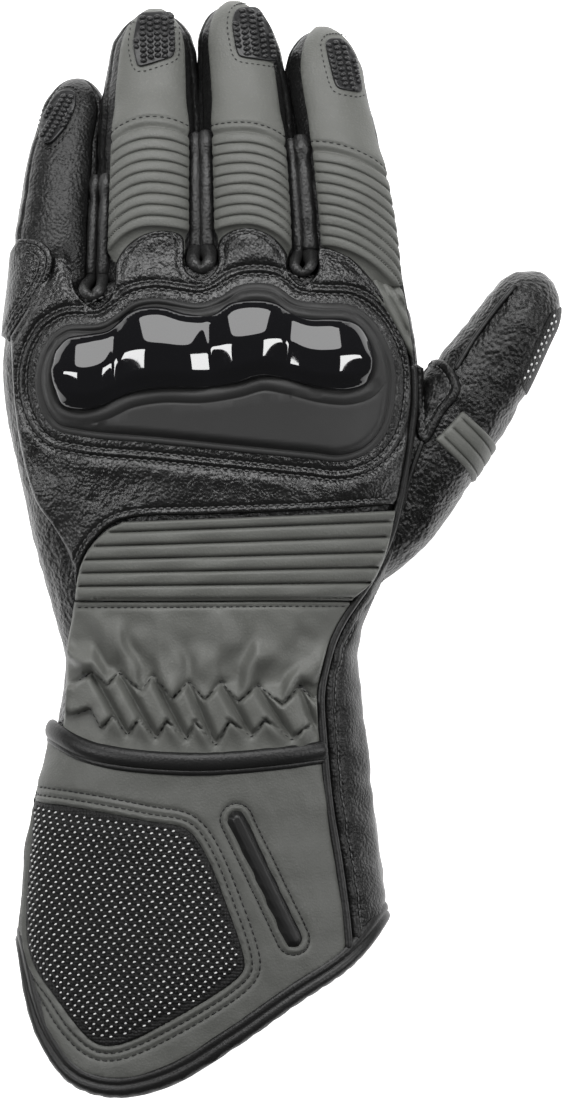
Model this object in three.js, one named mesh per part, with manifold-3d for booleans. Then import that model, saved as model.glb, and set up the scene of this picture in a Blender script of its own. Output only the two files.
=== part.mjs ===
// Winter motorcycle glove for the left hand, palm down, with its fingers along +Y and its thumb towards +X.
// Leather sheaths and a hand shell make the hollow form. Padded leather panels, a hard knuckle guard, grip
// pads and bindings are sewn on its back. Lengths are millimetres, +Z is up, and the palm rests on z = 0.
import * as THREE from "three";
import { mergeVertices } from "three/addons/utils/BufferGeometryUtils.js";
import Module from "manifold-3d";

const wasm = await Module();
wasm.setup();

// Driving dimensions
const WALL = 2.6; // leather with its winter padding
const LEATHER = 1.2; // one layer of leather sewn on top
const SEAM = 0.35; // gap between two pieces that are sewn edge to edge
const LAY = 0.55; // gap under a panel that lies on the form
const FORM_POWER = 2.4; // roundness of the hand and cuff sections, where 2 is an ellipse
const FINGER_POWER = 2.2; // roundness of the finger sections
const FLOOR_EASE = 0.05; // smallest height that a flattened underside of a cavity keeps above its wall
const RIBS = 9; // rolls of padding in a finger's accordion
const RIB_RISE = 1.1; // height of a finger roll above its groove
const WRIST_RIBS = 6; // rolls of padding in the wrist's accordion
const WRIST_RIB_RISE = 1.3;
const THUMB_RIBS = 3;
const GATHERS = 9; // puckers across the elastic wrist
const GATHER_RISE = 1.6;
const BINDING_RADIUS = 2.2; // rolled leather edge of the cuff
const PIPING_RADIUS = 1.6; // rolled seams between the fingers and down the thumb's side
const SURROUND_THICK = 2.0; // moulded rubber under the knuckle guard
const MESH_THICK = 1.0; // studded mesh and grip rubber
const PAD_THICK = 1.2; // studded pads at the fingertips

// Heights above the forms of what lies on what
const PANEL_TOP = LAY + LEATHER;
const ON_PANEL = PANEL_TOP + SEAM;
const ON_SURROUND = ON_PANEL + SURROUND_THICK + SEAM;

// Sides of the faceted sections
const ARM_SIDES = 28;
const ARM_INNER_SIDES = 22;
const FINGER_SIDES = 14;
const FINGER_INNER_SIDES = 10;

// Hand, wrist and cuff in one form: sections across Y
const ARM = [
  { along: 95, side: -22.6, mid: 25.2, half_width: 55.2, half_height: 13.4 },
  { along: 82, side: -22.5, mid: 24.6, half_width: 56.4, half_height: 16.2 },
  { along: 65, side: -21.8, mid: 23.0, half_width: 59.0, half_height: 19.6 },
  { along: 50, side: -21.2, mid: 22.0, half_width: 60.2, half_height: 20.9 },
  { along: 36, side: -20.8, mid: 21.4, half_width: 59.2, half_height: 21.3 },
  { along: 8, side: -20.4, mid: 21.0, half_width: 53.8, half_height: 21.6 },
  { along: -8, side: -21.4, mid: 20.6, half_width: 48.9, half_height: 21.0 },
  { along: -22, side: -22.6, mid: 20.0, half_width: 43.8, half_height: 20.3 },
  { along: -34, side: -21.8, mid: 19.6, half_width: 41.8, half_height: 19.8 },
  { along: -57, side: -22.3, mid: 19.6, half_width: 44.8, half_height: 19.8 },
  { along: -74, side: -23.6, mid: 20.0, half_width: 48.0, half_height: 20.4 },
  { along: -106, side: -23.6, mid: 21.4, half_width: 51.8, half_height: 22.0 },
  { along: -122, side: -23.3, mid: 22.0, half_width: 52.3, half_height: 22.6 },
  { along: -165, side: -23.2, mid: 22.4, half_width: 52.5, half_height: 23.0 },
];

// Finger sheaths: sections across Y, then a rounded tip that ends at reach
const FINGERS = {
  pinky: {
    reach: 136.9,
    cap: 12,
    sections: [
      { along: 66, side: -67.0, mid: 22.0, half_width: 12.2, half_height: 13.0 },
      { along: 88, side: -66.4, mid: 22.8, half_width: 12.0, half_height: 11.8 },
      { along: 103, side: -65.2, mid: 19.6, half_width: 11.3, half_height: 11.2 },
      { along: 117, side: -63.6, mid: 15.0, half_width: 10.3, half_height: 10.6 },
      { along: 125, side: -61.8, mid: 12.0, half_width: 9.6, half_height: 10.2 },
      { along: 137, side: -60.4, mid: 9.4, half_width: 9.2, half_height: 9.6 },
    ],
  },
  ring: {
    reach: 156.0,
    cap: 13,
    sections: [
      { along: 66, side: -39.6, mid: 24.0, half_width: 14.9, half_height: 14.6 },
      { along: 88, side: -39.1, mid: 25.4, half_width: 14.8, half_height: 13.5 },
      { along: 103, side: -38.9, mid: 24.0, half_width: 14.5, half_height: 12.8 },
      { along: 118, side: -38.7, mid: 20.2, half_width: 14.2, half_height: 12.2 },
      { along: 133, side: -38.6, mid: 15.0, half_width: 13.4, half_height: 11.5 },
      { along: 145, side: -38.2, mid: 11.2, half_width: 12.4, half_height: 10.9 },
      { along: 157, side: -37.6, mid: 9.8, half_width: 12.0, half_height: 10.4 },
    ],
  },
  middle: {
    reach: 158.2,
    cap: 14,
    sections: [
      { along: 66, side: -9.4, mid: 24.2, half_width: 14.2, half_height: 15.0 },
      { along: 88, side: -9.5, mid: 25.8, half_width: 14.1, half_height: 13.8 },
      { along: 103, side: -10.0, mid: 24.4, half_width: 13.8, half_height: 13.0 },
      { along: 118, side: -10.8, mid: 20.6, half_width: 13.3, half_height: 12.4 },
      { along: 133, side: -12.0, mid: 15.4, half_width: 12.6, half_height: 11.7 },
      { along: 145, side: -13.3, mid: 11.4, half_width: 12.1, half_height: 11.1 },
      { along: 159, side: -15.0, mid: 9.9, half_width: 12.0, half_height: 10.6 },
    ],
  },
  index: {
    reach: 150.8,
    cap: 14,
    sections: [
      { along: 66, side: 20.4, mid: 21.6, half_width: 14.4, half_height: 13.2 },
      { along: 88, side: 19.1, mid: 23.2, half_width: 13.8, half_height: 12.9 },
      { along: 103, side: 17.4, mid: 22.4, half_width: 13.1, half_height: 12.5 },
      { along: 118, side: 15.2, mid: 18.9, half_width: 12.1, half_height: 12.1 },
      { along: 131, side: 12.6, mid: 14.6, half_width: 11.6, half_height: 11.5 },
      { along: 140, side: 11.3, mid: 11.4, half_width: 11.4, half_height: 11.0 },
      { along: 151, side: 10.4, mid: 9.8, half_width: 11.0, half_height: 10.4 },
    ],
  },
};

// Thumb sheath: along runs out from its root in the direction of the heading, and side is square to it
const THUMB_ROOT = { x: 24.6, y: -3.6 };
const THUMB_HEADING = 59; // degrees from +X towards +Y
const THUMB = {
  reach: 97.6,
  cap: 13,
  sections: [
    { along: -12, side: -6.5, mid: 15.4, half_width: 8.6, half_height: 10.5 },
    { along: -2, side: -3.6, mid: 15.2, half_width: 10.6, half_height: 12.0 },
    { along: 13, side: -1.3, mid: 15.0, half_width: 13.7, half_height: 13.0 },
    { along: 28, side: -0.8, mid: 15.0, half_width: 14.2, half_height: 13.4 },
    { along: 45, side: 0.1, mid: 14.9, half_width: 14.0, half_height: 13.3 },
    { along: 65, side: 0.9, mid: 14.0, half_width: 13.3, half_height: 12.9 },
    { along: 82, side: 1.3, mid: 12.8, half_width: 11.2, half_height: 12.0 },
    { along: 98, side: 0.6, mid: 11.6, half_width: 10.6, half_height: 11.0 },
  ],
};

// Plan curve where the finger sheaths meet the hand, through the three finger crotches
const FINGER_LINE = [
  { x: -95, y: 67 },
  { x: -60, y: 71 },
  { x: -42, y: 78 },
  { x: -24, y: 80 },
  { x: 7, y: 78.6 },
  { x: 24, y: 72 },
  { x: 50, y: 66 },
];
const CROTCHES = {
  pinky_ring: { x: -54.3, y: 72.5, left: "pinky", right: "ring", top: 106 },
  ring_middle: { x: -24.0, y: 80.0, left: "ring", right: "middle", top: 118 },
  middle_index: { x: 5.0, y: 78.6, left: "middle", right: "index", top: 117 },
};
const WRIST_SEAM = -50; // where the hand shell meets the cuff's sleeve

// Outer edge of the cuff's mouth, in plan
const HEM = [
  { x: -77.4, y: -101.5 },
  { x: -75.8, y: -114.5 },
  { x: -73.5, y: -131.9 },
  { x: -69.7, y: -143.5 },
  { x: -61.3, y: -154.6 },
  { x: -48.9, y: -158.5 },
  { x: -32.6, y: -155.0 },
  { x: -13.5, y: -143.5 },
  { x: 2.8, y: -131.9 },
  { x: 17.8, y: -121.8 },
  { x: 24.6, y: -114.8 },
  { x: 28.6, y: -108.7 },
];

// Smooth interpolation of a table's columns between its rows, which are sorted by key
function smoothColumns(table, key) {
  const rows = [...table].sort((a, b) => a[key] - b[key]);
  const columns = Object.keys(rows[0]).filter((name) => name !== key);
  const slope = (i, column) => {
    const low = rows[Math.max(i - 1, 0)];
    const high = rows[Math.min(i + 1, rows.length - 1)];
    return (high[column] - low[column]) / (high[key] - low[key]);
  };
  return (at) => {
    const place = Math.min(Math.max(at, rows[0][key]), rows[rows.length - 1][key]);
    let i = 0;
    while (i < rows.length - 2 && place > rows[i + 1][key]) i += 1;
    const span = rows[i + 1][key] - rows[i][key];
    const t = (place - rows[i][key]) / span;
    const found = {};
    for (const column of columns) {
      const a = rows[i][column];
      const b = rows[i + 1][column];
      const turnA = slope(i, column) * span;
      const turnB = slope(i + 1, column) * span;
      found[column] =
        a * (2 * t ** 3 - 3 * t ** 2 + 1) + turnA * (t ** 3 - 2 * t ** 2 + t) +
        b * (3 * t ** 2 - 2 * t ** 3) + turnB * (t ** 3 - t ** 2);
    }
    return found;
  };
}

const signedPower = (value, power) => Math.sign(value) * Math.abs(value) ** power;
const mix = (a, b, t) => a + (b - a) * t;
const degrees = (angle) => (angle * Math.PI) / 180;

// A form is a row of sections in upright planes, which may end in a rounded tip.
// point() gives the place on its surface at a section, an angle round it and a height above it.
function makeForm({ sections, reach, cap, power, place = (p) => p }) {
  const at = smoothColumns(sections, "along");
  const capStart = reach === undefined ? Infinity : reach - cap;
  const point = (along, angle, lift = 0, lowest = 0) => {
    const section = at(along);
    let scale = 1;
    let y = along;
    if (along > capStart) {
      const turn = Math.min((along - capStart) / cap, 1);
      y = capStart + (cap + lift) * turn;
      scale = Math.sqrt(Math.max(1 - turn ** 2, 0));
    }
    const across = (section.half_width + lift) * scale * signedPower(Math.cos(angle), 2 / power);
    const height = (section.half_height + lift) * scale * signedPower(Math.sin(angle), 2 / power);
    return place(new THREE.Vector3(section.side + across, y, Math.max(section.mid + height, lowest)));
  };
  // Angle round the upper half for a share of the half width, from -1 on the left to 1 on the right
  const angleOf = (share) => Math.acos(signedPower(Math.min(Math.max(share, -1), 1), power / 2));
  return { at, point, angleOf, capStart, cap, reach };
}

function placeOnThumb(p) {
  const heading = degrees(THUMB_HEADING - 90);
  return new THREE.Vector3(
    THUMB_ROOT.x + p.x * Math.cos(heading) - p.y * Math.sin(heading),
    THUMB_ROOT.y + p.x * Math.sin(heading) + p.y * Math.cos(heading),
    p.z,
  );
}

const arm = makeForm({ sections: ARM, power: FORM_POWER });
const fingers = Object.fromEntries(
  Object.entries(FINGERS).map(([name, data]) => [name, makeForm({ ...data, power: FINGER_POWER })]),
);
const thumb = makeForm({ ...THUMB, power: FINGER_POWER, place: placeOnThumb });

// Point over a plan place, at a height above the back of the arm form
function onArm(x, y, lift) {
  const section = arm.at(y);
  return arm.point(y, arm.angleOf((x - section.side) / (section.half_width + lift)), lift);
}

// Closed triangle mesh with its faces pointing out
function geometryOf(points, triangles) {
  let volume = 0;
  const cross = new THREE.Vector3();
  for (const [a, b, c] of triangles) volume += points[a].dot(cross.crossVectors(points[b], points[c]));
  const faces = volume < 0 ? triangles.map(([a, b, c]) => [a, c, b]) : triangles;
  const geometry = new THREE.BufferGeometry();
  geometry.setAttribute("position", new THREE.Float32BufferAttribute(points.flatMap((p) => p.toArray()), 3));
  geometry.setIndex(faces.flat());
  return geometry;
}

// Solid through a row of rings with equal counts: closed at both ends, or joined end to end
function loft(rings, endless = false) {
  const count = rings[0].length;
  const points = rings.flat();
  const triangles = [];
  const spans = endless ? rings.length : rings.length - 1;
  for (let i = 0; i < spans; i += 1) {
    const next = (i + 1) % rings.length;
    for (let j = 0; j < count; j += 1) {
      const k = (j + 1) % count;
      triangles.push([i * count + j, i * count + k, next * count + k]);
      triangles.push([i * count + j, next * count + k, next * count + j]);
    }
  }
  if (!endless) {
    for (const [ring, turn] of [[0, 1], [rings.length - 1, 0]]) {
      const centre = rings[ring].reduce((sum, p) => sum.add(p), new THREE.Vector3()).divideScalar(count);
      points.push(centre);
      for (let j = 0; j < count; j += 1) {
        const a = ring * count + j;
        const b = ring * count + ((j + 1) % count);
        triangles.push(turn ? [b, a, points.length - 1] : [a, b, points.length - 1]);
      }
    }
  }
  return geometryOf(points, triangles);
}

// Sheet with thickness: at(across, along, layer) gives its under side for layer 0 and its top for layer 1
function sheet(columns, rows, at) {
  const points = [];
  for (const layer of [0, 1]) {
    for (let i = 0; i <= rows; i += 1) {
      for (let j = 0; j <= columns; j += 1) points.push(at(j / columns, i / rows, layer));
    }
  }
  const id = (layer, i, j) => (layer * (rows + 1) + i) * (columns + 1) + j;
  const triangles = [];
  const quad = (a, b, c, d) => triangles.push([a, b, c], [a, c, d]);
  for (let i = 0; i < rows; i += 1) {
    for (let j = 0; j < columns; j += 1) {
      quad(id(1, i, j), id(1, i, j + 1), id(1, i + 1, j + 1), id(1, i + 1, j));
      quad(id(0, i, j), id(0, i + 1, j), id(0, i + 1, j + 1), id(0, i, j + 1));
    }
    quad(id(0, i, 0), id(1, i, 0), id(1, i + 1, 0), id(0, i + 1, 0));
    quad(id(0, i + 1, columns), id(1, i + 1, columns), id(1, i, columns), id(0, i, columns));
  }
  for (let j = 0; j < columns; j += 1) {
    quad(id(0, 0, j + 1), id(1, 0, j + 1), id(1, 0, j), id(0, 0, j));
    quad(id(0, rows, j), id(1, rows, j), id(1, rows, j + 1), id(0, rows, j + 1));
  }
  return geometryOf(points, triangles);
}

// Roll of leather along a path: its oval section stands upright, or away from the axis that it goes round
function roll(path, halfAcross, halfUp, sides, { endless = false, axis = null } = {}) {
  const count = path.length;
  const rings = path.map((p, i) => {
    const before = path[endless ? (i + count - 1) % count : Math.max(i - 1, 0)];
    const after = path[endless ? (i + 1) % count : Math.min(i + 1, count - 1)];
    const ahead = after.clone().sub(before).normalize();
    const outward = axis ? p.clone().sub(axis(p)) : new THREE.Vector3(0, 0, 1);
    const across = new THREE.Vector3().crossVectors(ahead, outward).normalize();
    const up = new THREE.Vector3().crossVectors(across, ahead);
    return ringAngles(sides).map((turn) => {
      const out = p.clone().addScaledVector(across, halfAcross * Math.cos(turn));
      return out.addScaledVector(up, halfUp * Math.sin(turn));
    });
  });
  return loft(rings, endless);
}

const steps = (count, low = 0, high = 1) =>
  Array.from({ length: count + 1 }, (_, i) => mix(low, high, i / count));
const ringAngles = (sides) => Array.from({ length: sides }, (_, i) => (2 * Math.PI * i) / sides);

// Whole form as a closed solid, its sections taken at the given places along it
function formSolid(form, places, sides, lift, lowest) {
  const angles = ringAngles(sides);
  return loft(places.map((along) => angles.map((angle) => form.point(along, angle, lift, lowest))));
}

// Sections for a form with a rounded tip: even on the body, then by equal turns over the tip
function tipPlaces(form, start, bodySteps, capSteps) {
  const body = steps(bodySteps, start, form.capStart).slice(0, -1);
  const tip = steps(capSteps).map((t) => form.capStart + form.cap * Math.sin(t * degrees(84)));
  return [...body, ...tip];
}

const FAR = 250; // past everything, for the open sides of cutting blocks

// Exact solids for cutting and joining
function solidOf(geometry) {
  const bare = new THREE.BufferGeometry();
  bare.setAttribute("position", geometry.getAttribute("position"));
  bare.setIndex(geometry.index);
  const merged = mergeVertices(bare, 1e-4);
  return new wasm.Manifold(
    new wasm.Mesh({
      numProp: 3,
      vertProperties: merged.attributes.position.array,
      triVerts: new Uint32Array(merged.index.array),
    }),
  );
}

function geometryFrom(solid) {
  const mesh = solid.getMesh();
  const places = new Float32Array(mesh.numVert * 3);
  for (let i = 0; i < mesh.numVert; i += 1) {
    places.set(mesh.vertProperties.subarray(i * mesh.numProp, i * mesh.numProp + 3), i * 3);
  }
  const geometry = new THREE.BufferGeometry();
  geometry.setAttribute("position", new THREE.BufferAttribute(places, 3));
  geometry.setIndex(new THREE.BufferAttribute(mesh.triVerts, 1));
  return geometry;
}

// Upright block over a plan outline, from a lowest height to above the glove
function block(outline, lowest = -FAR) {
  const shape = new THREE.Shape(outline.map((p) => new THREE.Vector2(p.x, p.y)));
  const tall = { depth: FAR - lowest, bevelEnabled: false };
  const geometry = new THREE.ExtrudeGeometry(shape, tall).translate(0, 0, lowest);
  const bare = new THREE.BufferGeometry().setAttribute("position", geometry.getAttribute("position"));
  const merged = mergeVertices(bare, 1e-4);
  return solidOf(merged);
}

// Plan curve moved sideways, to its left when the distance is positive
function besideCurve(curve, distance) {
  return curve.map((p, i) => {
    const before = curve[Math.max(i - 1, 0)];
    const after = curve[Math.min(i + 1, curve.length - 1)];
    const length = Math.hypot(after.x - before.x, after.y - before.y);
    const x = p.x - ((after.y - before.y) / length) * distance;
    return { x, y: p.y + ((after.x - before.x) / length) * distance };
  });
}

// Everything to the +Y side of a plan curve that runs from low x to high x
function beyond(curve) {
  return block([
    { x: -FAR, y: curve[0].y },
    ...curve,
    { x: FAR, y: curve[curve.length - 1].y },
    { x: FAR, y: FAR },
    { x: -FAR, y: FAR },
  ]);
}

const MATERIALS = {
  black_leather: { color: 0x26272a, roughness: 0.55, metalness: 0 },
  grey_leather: { color: 0x6b6c69, roughness: 0.6, metalness: 0 },
  binding_leather: { color: 0x1d1e20, roughness: 0.45, metalness: 0 },
  moulded_rubber: { color: 0x37383a, roughness: 0.6, metalness: 0 },
  gloss_guard: { color: 0x08080a, roughness: 0.06, metalness: 0 },
  studded_rubber: { color: 0x2b2c2f, roughness: 0.4, metalness: 0 },
  studded_mesh: { color: 0x202124, roughness: 0.5, metalness: 0 },
};

const glove = new THREE.Group();

function addPiece(name, material, geometry) {
  const finish = new THREE.MeshStandardMaterial(MATERIALS[material]);
  const mesh = new THREE.Mesh(geometry, finish);
  mesh.name = name;
  glove.add(mesh);
}

// Finger sheaths: hollow, open at the palm and rounded at the tip
const floorInside = WALL + FLOOR_EASE;
const innerFingers = [];
const pastFingerLine = beyond(besideCurve(FINGER_LINE, SEAM));
for (const [name, form] of Object.entries(fingers)) {
  const outer = solidOf(formSolid(form, tipPlaces(form, 62, 5, 3), FINGER_SIDES, 0, 0));
  const inner = solidOf(formSolid(form, tipPlaces(form, 52, 5, 2), FINGER_INNER_SIDES, -WALL, floorInside));
  innerFingers.push(inner);
  addPiece(`${name}_sheath`, "black_leather", geometryFrom(outer.subtract(inner).intersect(pastFingerLine)));
}

// Arm form grown by a lift, as the base of the hand shell and of the panels that lie on it
const armPlaces = ARM.map((row) => row.along);
const armGrown = (lift) => solidOf(formSolid(arm, armPlaces, ARM_SIDES, lift, 0));
const pastHandEnd = beyond(FINGER_LINE);

// Thumb sheath, sewn against the side of the hand
const outerThumb = solidOf(formSolid(thumb, tipPlaces(thumb, -10, 5, 3), FINGER_SIDES, 0, 0));
const innerThumbPlaces = tipPlaces(thumb, -4, 5, 2);
const innerThumb = solidOf(formSolid(thumb, innerThumbPlaces, FINGER_INNER_SIDES, -WALL, floorInside));
const besideHand = armGrown(SEAM).subtract(pastHandEnd);
addPiece("thumb_sheath", "black_leather", geometryFrom(outerThumb.subtract(innerThumb).subtract(besideHand)));

// Hand shell, open to the wrist, the fingers and the thumb
const innerArm = solidOf(formSolid(arm, armPlaces, ARM_INNER_SIDES, -WALL, floorInside));
const pastPalmEnd = beyond(besideCurve(FINGER_LINE, -WALL));
const wristLine = [{ x: -FAR + 1, y: WRIST_SEAM }, { x: FAR - 1, y: WRIST_SEAM }];
const innerPalm = innerArm.subtract(pastPalmEnd).add(innerThumb);
const cavity = innerFingers.reduce((sum, inner) => sum.add(inner), innerPalm);
const handShell = armGrown(0).subtract(cavity).subtract(pastHandEnd).intersect(beyond(wristLine));
addPiece("hand_shell", "black_leather", geometryFrom(handShell));

// Height of a plan curve at x, with x rising from row to row
function heightAt(curve, x) {
  let i = 0;
  while (i < curve.length - 2 && x > curve[i + 1].x) i += 1;
  const t = (x - curve[i].x) / (curve[i + 1].x - curve[i].x);
  return mix(curve[i].y, curve[i + 1].y, Math.min(Math.max(t, 0), 1));
}

// Where a line of equal angle on the arm form meets a plan curve
function meet(angle, curve, lift = 0) {
  let y = curve[0].y;
  for (let i = 0; i < 30; i += 1) y = mix(y, heightAt(curve, arm.point(y, angle, lift).x), 0.5);
  return y;
}

// Place along the arm, at an angle round it, that stays a distance inside the cuff's outer edge
const hemEdge = ringAngles(180).map((angle) => arm.point(meet(angle, HEM), angle));
function insideHem(angle, distance) {
  const here = arm.point(meet(angle, HEM), angle);
  const reach = hemEdge.map((p) => {
    const apart = Math.hypot(p.x - here.x, p.z - here.z);
    return apart < distance ? p.y + Math.sqrt(distance ** 2 - apart ** 2) : -FAR;
  });
  return Math.max(...reach);
}
const HEM_GAP = 0.8; // between the cuff's layers and the binding that is sewn round their edge
const CUFF_INSET = 2 * BINDING_RADIUS + HEM_GAP;

// Cuff sleeve: a tube from the wrist seam to the binding of its mouth
const SLEEVE_ROWS = 5;
const sleeveTop = WRIST_SEAM - SEAM;
const sleeveRings = ringAngles(ARM_SIDES).map((angle) => {
  const places = steps(SLEEVE_ROWS, sleeveTop, insideHem(angle, CUFF_INSET));
  const outside = places.map((along) => arm.point(along, angle));
  const inside = places.map((along) => arm.point(along, angle, -WALL, floorInside));
  return [...outside, ...inside.reverse()];
});
addPiece("cuff_sleeve", "black_leather", loft(sleeveRings, true));

// Ribbed backs of three fingers: left and right edges as shares of the half width, where across the back its
// grooves arch highest, the places of the first and last groove, and how far the left ends of those two and
// then their right ends drop back
const FINGER_BACKS = {
  ring: { left: -0.7, right: 0.66, apex: 0.52, top: 121.5, bottom: 92.5, drops: [[5, 8], [3, 1.5]] },
  middle: { left: -0.64, right: 0.7, apex: 0.42, top: 120, bottom: 93, drops: [[1, 2], [4.5, 7.5]] },
  index: { left: -0.52, right: 0.84, apex: 0.04, top: 114.5, bottom: 87, drops: [[0, 0], [8.5, 17]] },
};
const BACK_COLUMNS = 4;
const TIP_TURNS = [64, 43, 22, 0]; // degrees over the rounded tip where a back has a row of corners

for (const [name, back] of Object.entries(FINGER_BACKS)) {
  const form = fingers[name];
  const pitch = (back.top - back.bottom) / RIBS;
  const arc = (across, share) => {
    const [leftDrop, rightDrop] = back.drops.map(([first, last]) => mix(first, last, share));
    if (across < back.apex) return -leftDrop * ((back.apex - across) / back.apex) ** 2;
    return -rightDrop * ((across - back.apex) / (1 - back.apex)) ** 2;
  };
  const rows = TIP_TURNS.map((turn) => {
    return { along: form.capStart + form.cap * Math.sin(degrees(turn)), bend: 0, rise: 0 };
  });
  rows.push({ along: mix(form.capStart, back.top, 0.5), bend: 0.5, rise: 0 });
  for (let i = 0; i < RIBS; i += 1) {
    rows.push({ along: back.top - i * pitch, bend: 1, rise: 0 });
    rows.push({ along: back.top - (i + 0.5) * pitch, bend: 1, rise: RIB_RISE });
  }
  rows.push({ along: back.bottom, bend: 1, rise: 0 });
  const geometry = sheet(BACK_COLUMNS, rows.length - 1, (across, down, layer) => {
    const row = rows[Math.round(down * (rows.length - 1))];
    const share = Math.min(Math.max((back.top - row.along) / (back.top - back.bottom), 0), 1);
    const turn = mix(form.angleOf(back.left), form.angleOf(back.right), across);
    return form.point(row.along + row.bend * arc(across, share), turn, LAY + layer * (LEATHER + row.rise));
  });
  addPiece(`${name}_back`, "grey_leather", geometry);
}

// Panel cut by a plan outline from a layer on the arm form, above a lowest height
function cutPanel(name, material, outline, lift, thick, lowest) {
  const layer = armGrown(lift + thick).subtract(armGrown(lift));
  addPiece(name, material, geometryFrom(layer.intersect(block(outline, lowest))));
}

// Seam down the thumb's side of the back: where it lies, as a share of the half width
const SIDE_SEAM = [
  { along: 50, share: 0.955 },
  { along: 13, share: 0.955 },
  { along: 0, share: 0.949 },
  { along: -10, share: 0.93 },
  { along: -20, share: 0.879 },
  { along: -30, share: 0.812 },
  { along: -43, share: 0.74 },
  { along: -57, share: 0.731 },
  { along: -74, share: 0.743 },
  { along: -90, share: 0.765 },
  { along: -113, share: 0.786 },
];
const seamShare = smoothColumns(SIDE_SEAM, "along");
const SEAM_LIFT = LAY + PIPING_RADIUS;
function besideSeam(y, distance) {
  const section = arm.at(y);
  return { x: section.side + seamShare(y).share * (section.half_width + SEAM_LIFT) + distance, y };
}
const SEAM_CLEAR = PIPING_RADIUS + SEAM;
const seamPath = steps(22, 50, -112).map((along) => {
  const place = besideSeam(along, 0);
  return onArm(place.x, place.y, SEAM_LIFT);
});
addPiece("side_seam_piping", "binding_leather", roll(seamPath, PIPING_RADIUS, PIPING_RADIUS, 6));

const SIDE_PANEL_TOP = -20;
const SIDE_PANEL_LOW = -109;
const sidePanel = [
  ...steps(8, SIDE_PANEL_TOP, SIDE_PANEL_LOW).map((y) => besideSeam(y, SEAM_CLEAR)),
  { x: 45, y: -94 },
  { x: 45, y: SIDE_PANEL_TOP },
];
cutPanel("side_panel", "black_leather", sidePanel, LAY, LEATHER, 23);

// Back of the hand: its far edge has a lobe under each finger and a dip round each crotch
const HAND_BACK_EDGE = [
  { x: -78.8, y: 61 },
  { x: -72.4, y: 70.8 },
  { x: -67.6, y: 80.4 },
  { x: -67.8, y: 86 },
  { x: -61.8, y: 84 },
  { x: -60.2, y: 72 },
  { x: -54.3, y: 67.5 },
  { x: -48.6, y: 72 },
  { x: -47.6, y: 84 },
  { x: -38.0, y: 91 },
  { x: -30.8, y: 90 },
  { x: -30.0, y: 79 },
  { x: -24.0, y: 75.5 },
  { x: -18.4, y: 79 },
  { x: -17.6, y: 89.5 },
  { x: -10.0, y: 91.6 },
  { x: -1.6, y: 86.6 },
  { x: -0.9, y: 78 },
  { x: 5.0, y: 74 },
  { x: 10.8, y: 78 },
  { x: 11.6, y: 84 },
  { x: 21.0, y: 77 },
  { x: 30.0, y: 66.5 },
];
const handBackSide = steps(5, 62, 12).map((y) => besideSeam(y, -SEAM_CLEAR));
const WRIST_LINE = [
  { x: 30.6, y: 12.2 },
  { x: 10.0, y: 10.6 },
  { x: -20.0, y: 9.4 },
  { x: -46.6, y: 8.2 },
  { x: -54.4, y: 3.2 },
  { x: -60.4, y: -2.4 },
  { x: -69.2, y: 9.3 },
  { x: -74.1, y: 18 },
  { x: -77.6, y: 36 },
];
const handBack = [...HAND_BACK_EDGE, ...handBackSide, ...WRIST_LINE];
cutPanel("hand_back_panel", "black_leather", handBack, LAY, LEATHER, 20);

// Plan curve through points, in equal shares from point to point
function planCurve(points) {
  const places = points.map(([x, y]) => new THREE.Vector3(x, y, 0));
  const curve = new THREE.CatmullRomCurve3(places, false, "centripetal");
  return (t) => curve.getPoint(Math.min(Math.max(t, 0), 1));
}

// Plan place inside four curves that meet at their ends, for shares across and down
function fourSided({ top, bottom, left, right }) {
  const [north, south, west, east] = [top, bottom, left, right].map(planCurve);
  return (across, down) => {
    const [back, up] = [1 - across, 1 - down];
    const place = new THREE.Vector3();
    place.addScaledVector(north(across), up).addScaledVector(south(across), down);
    place.addScaledVector(west(down), back).addScaledVector(east(down), across);
    place.addScaledVector(north(0), -back * up).addScaledVector(north(1), -across * up);
    place.addScaledVector(south(0), -back * down).addScaledVector(south(1), -across * down);
    return place;
  };
}

// Panel inside four plan curves, with a relief on its upper side
function reliefPanel(name, material, edges, { columns, rows, lift, relief }) {
  const inside = fourSided(edges);
  const geometry = sheet(columns, rows, (across, down, layer) => {
    const p = inside(across, down);
    return onArm(p.x, p.y, lift + layer * relief(across, down, p.x));
  });
  addPiece(name, material, geometry);
}
const pairOf = ({ x, y }) => [x, y];

// Padded accordion across the wrist
const wristRibRows = 2 * WRIST_RIBS;
reliefPanel(
  "wrist_accordion",
  "grey_leather",
  {
    top: [[-46.4, 6.8], [-20, 8], [10, 9.2], [30.4, 10.6]],
    bottom: [[-58.6, -14.8], [-30, -15], [0, -14.6], pairOf(besideSeam(-14.8, -SEAM_CLEAR - SEAM))],
    left: [[-46.4, 6.8], [-53.6, 1.2], [-57, -4.4], [-58.6, -14.8]],
    right: [10.6, 2, -6.4, -14.8].map((y) => pairOf(besideSeam(y, -SEAM_CLEAR - SEAM))),
  },
  {
    columns: 7,
    rows: wristRibRows,
    lift: LAY,
    relief: (across, down) => LEATHER + (Math.round(down * wristRibRows) % 2 ? WRIST_RIB_RISE : 0),
  },
);

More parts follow.
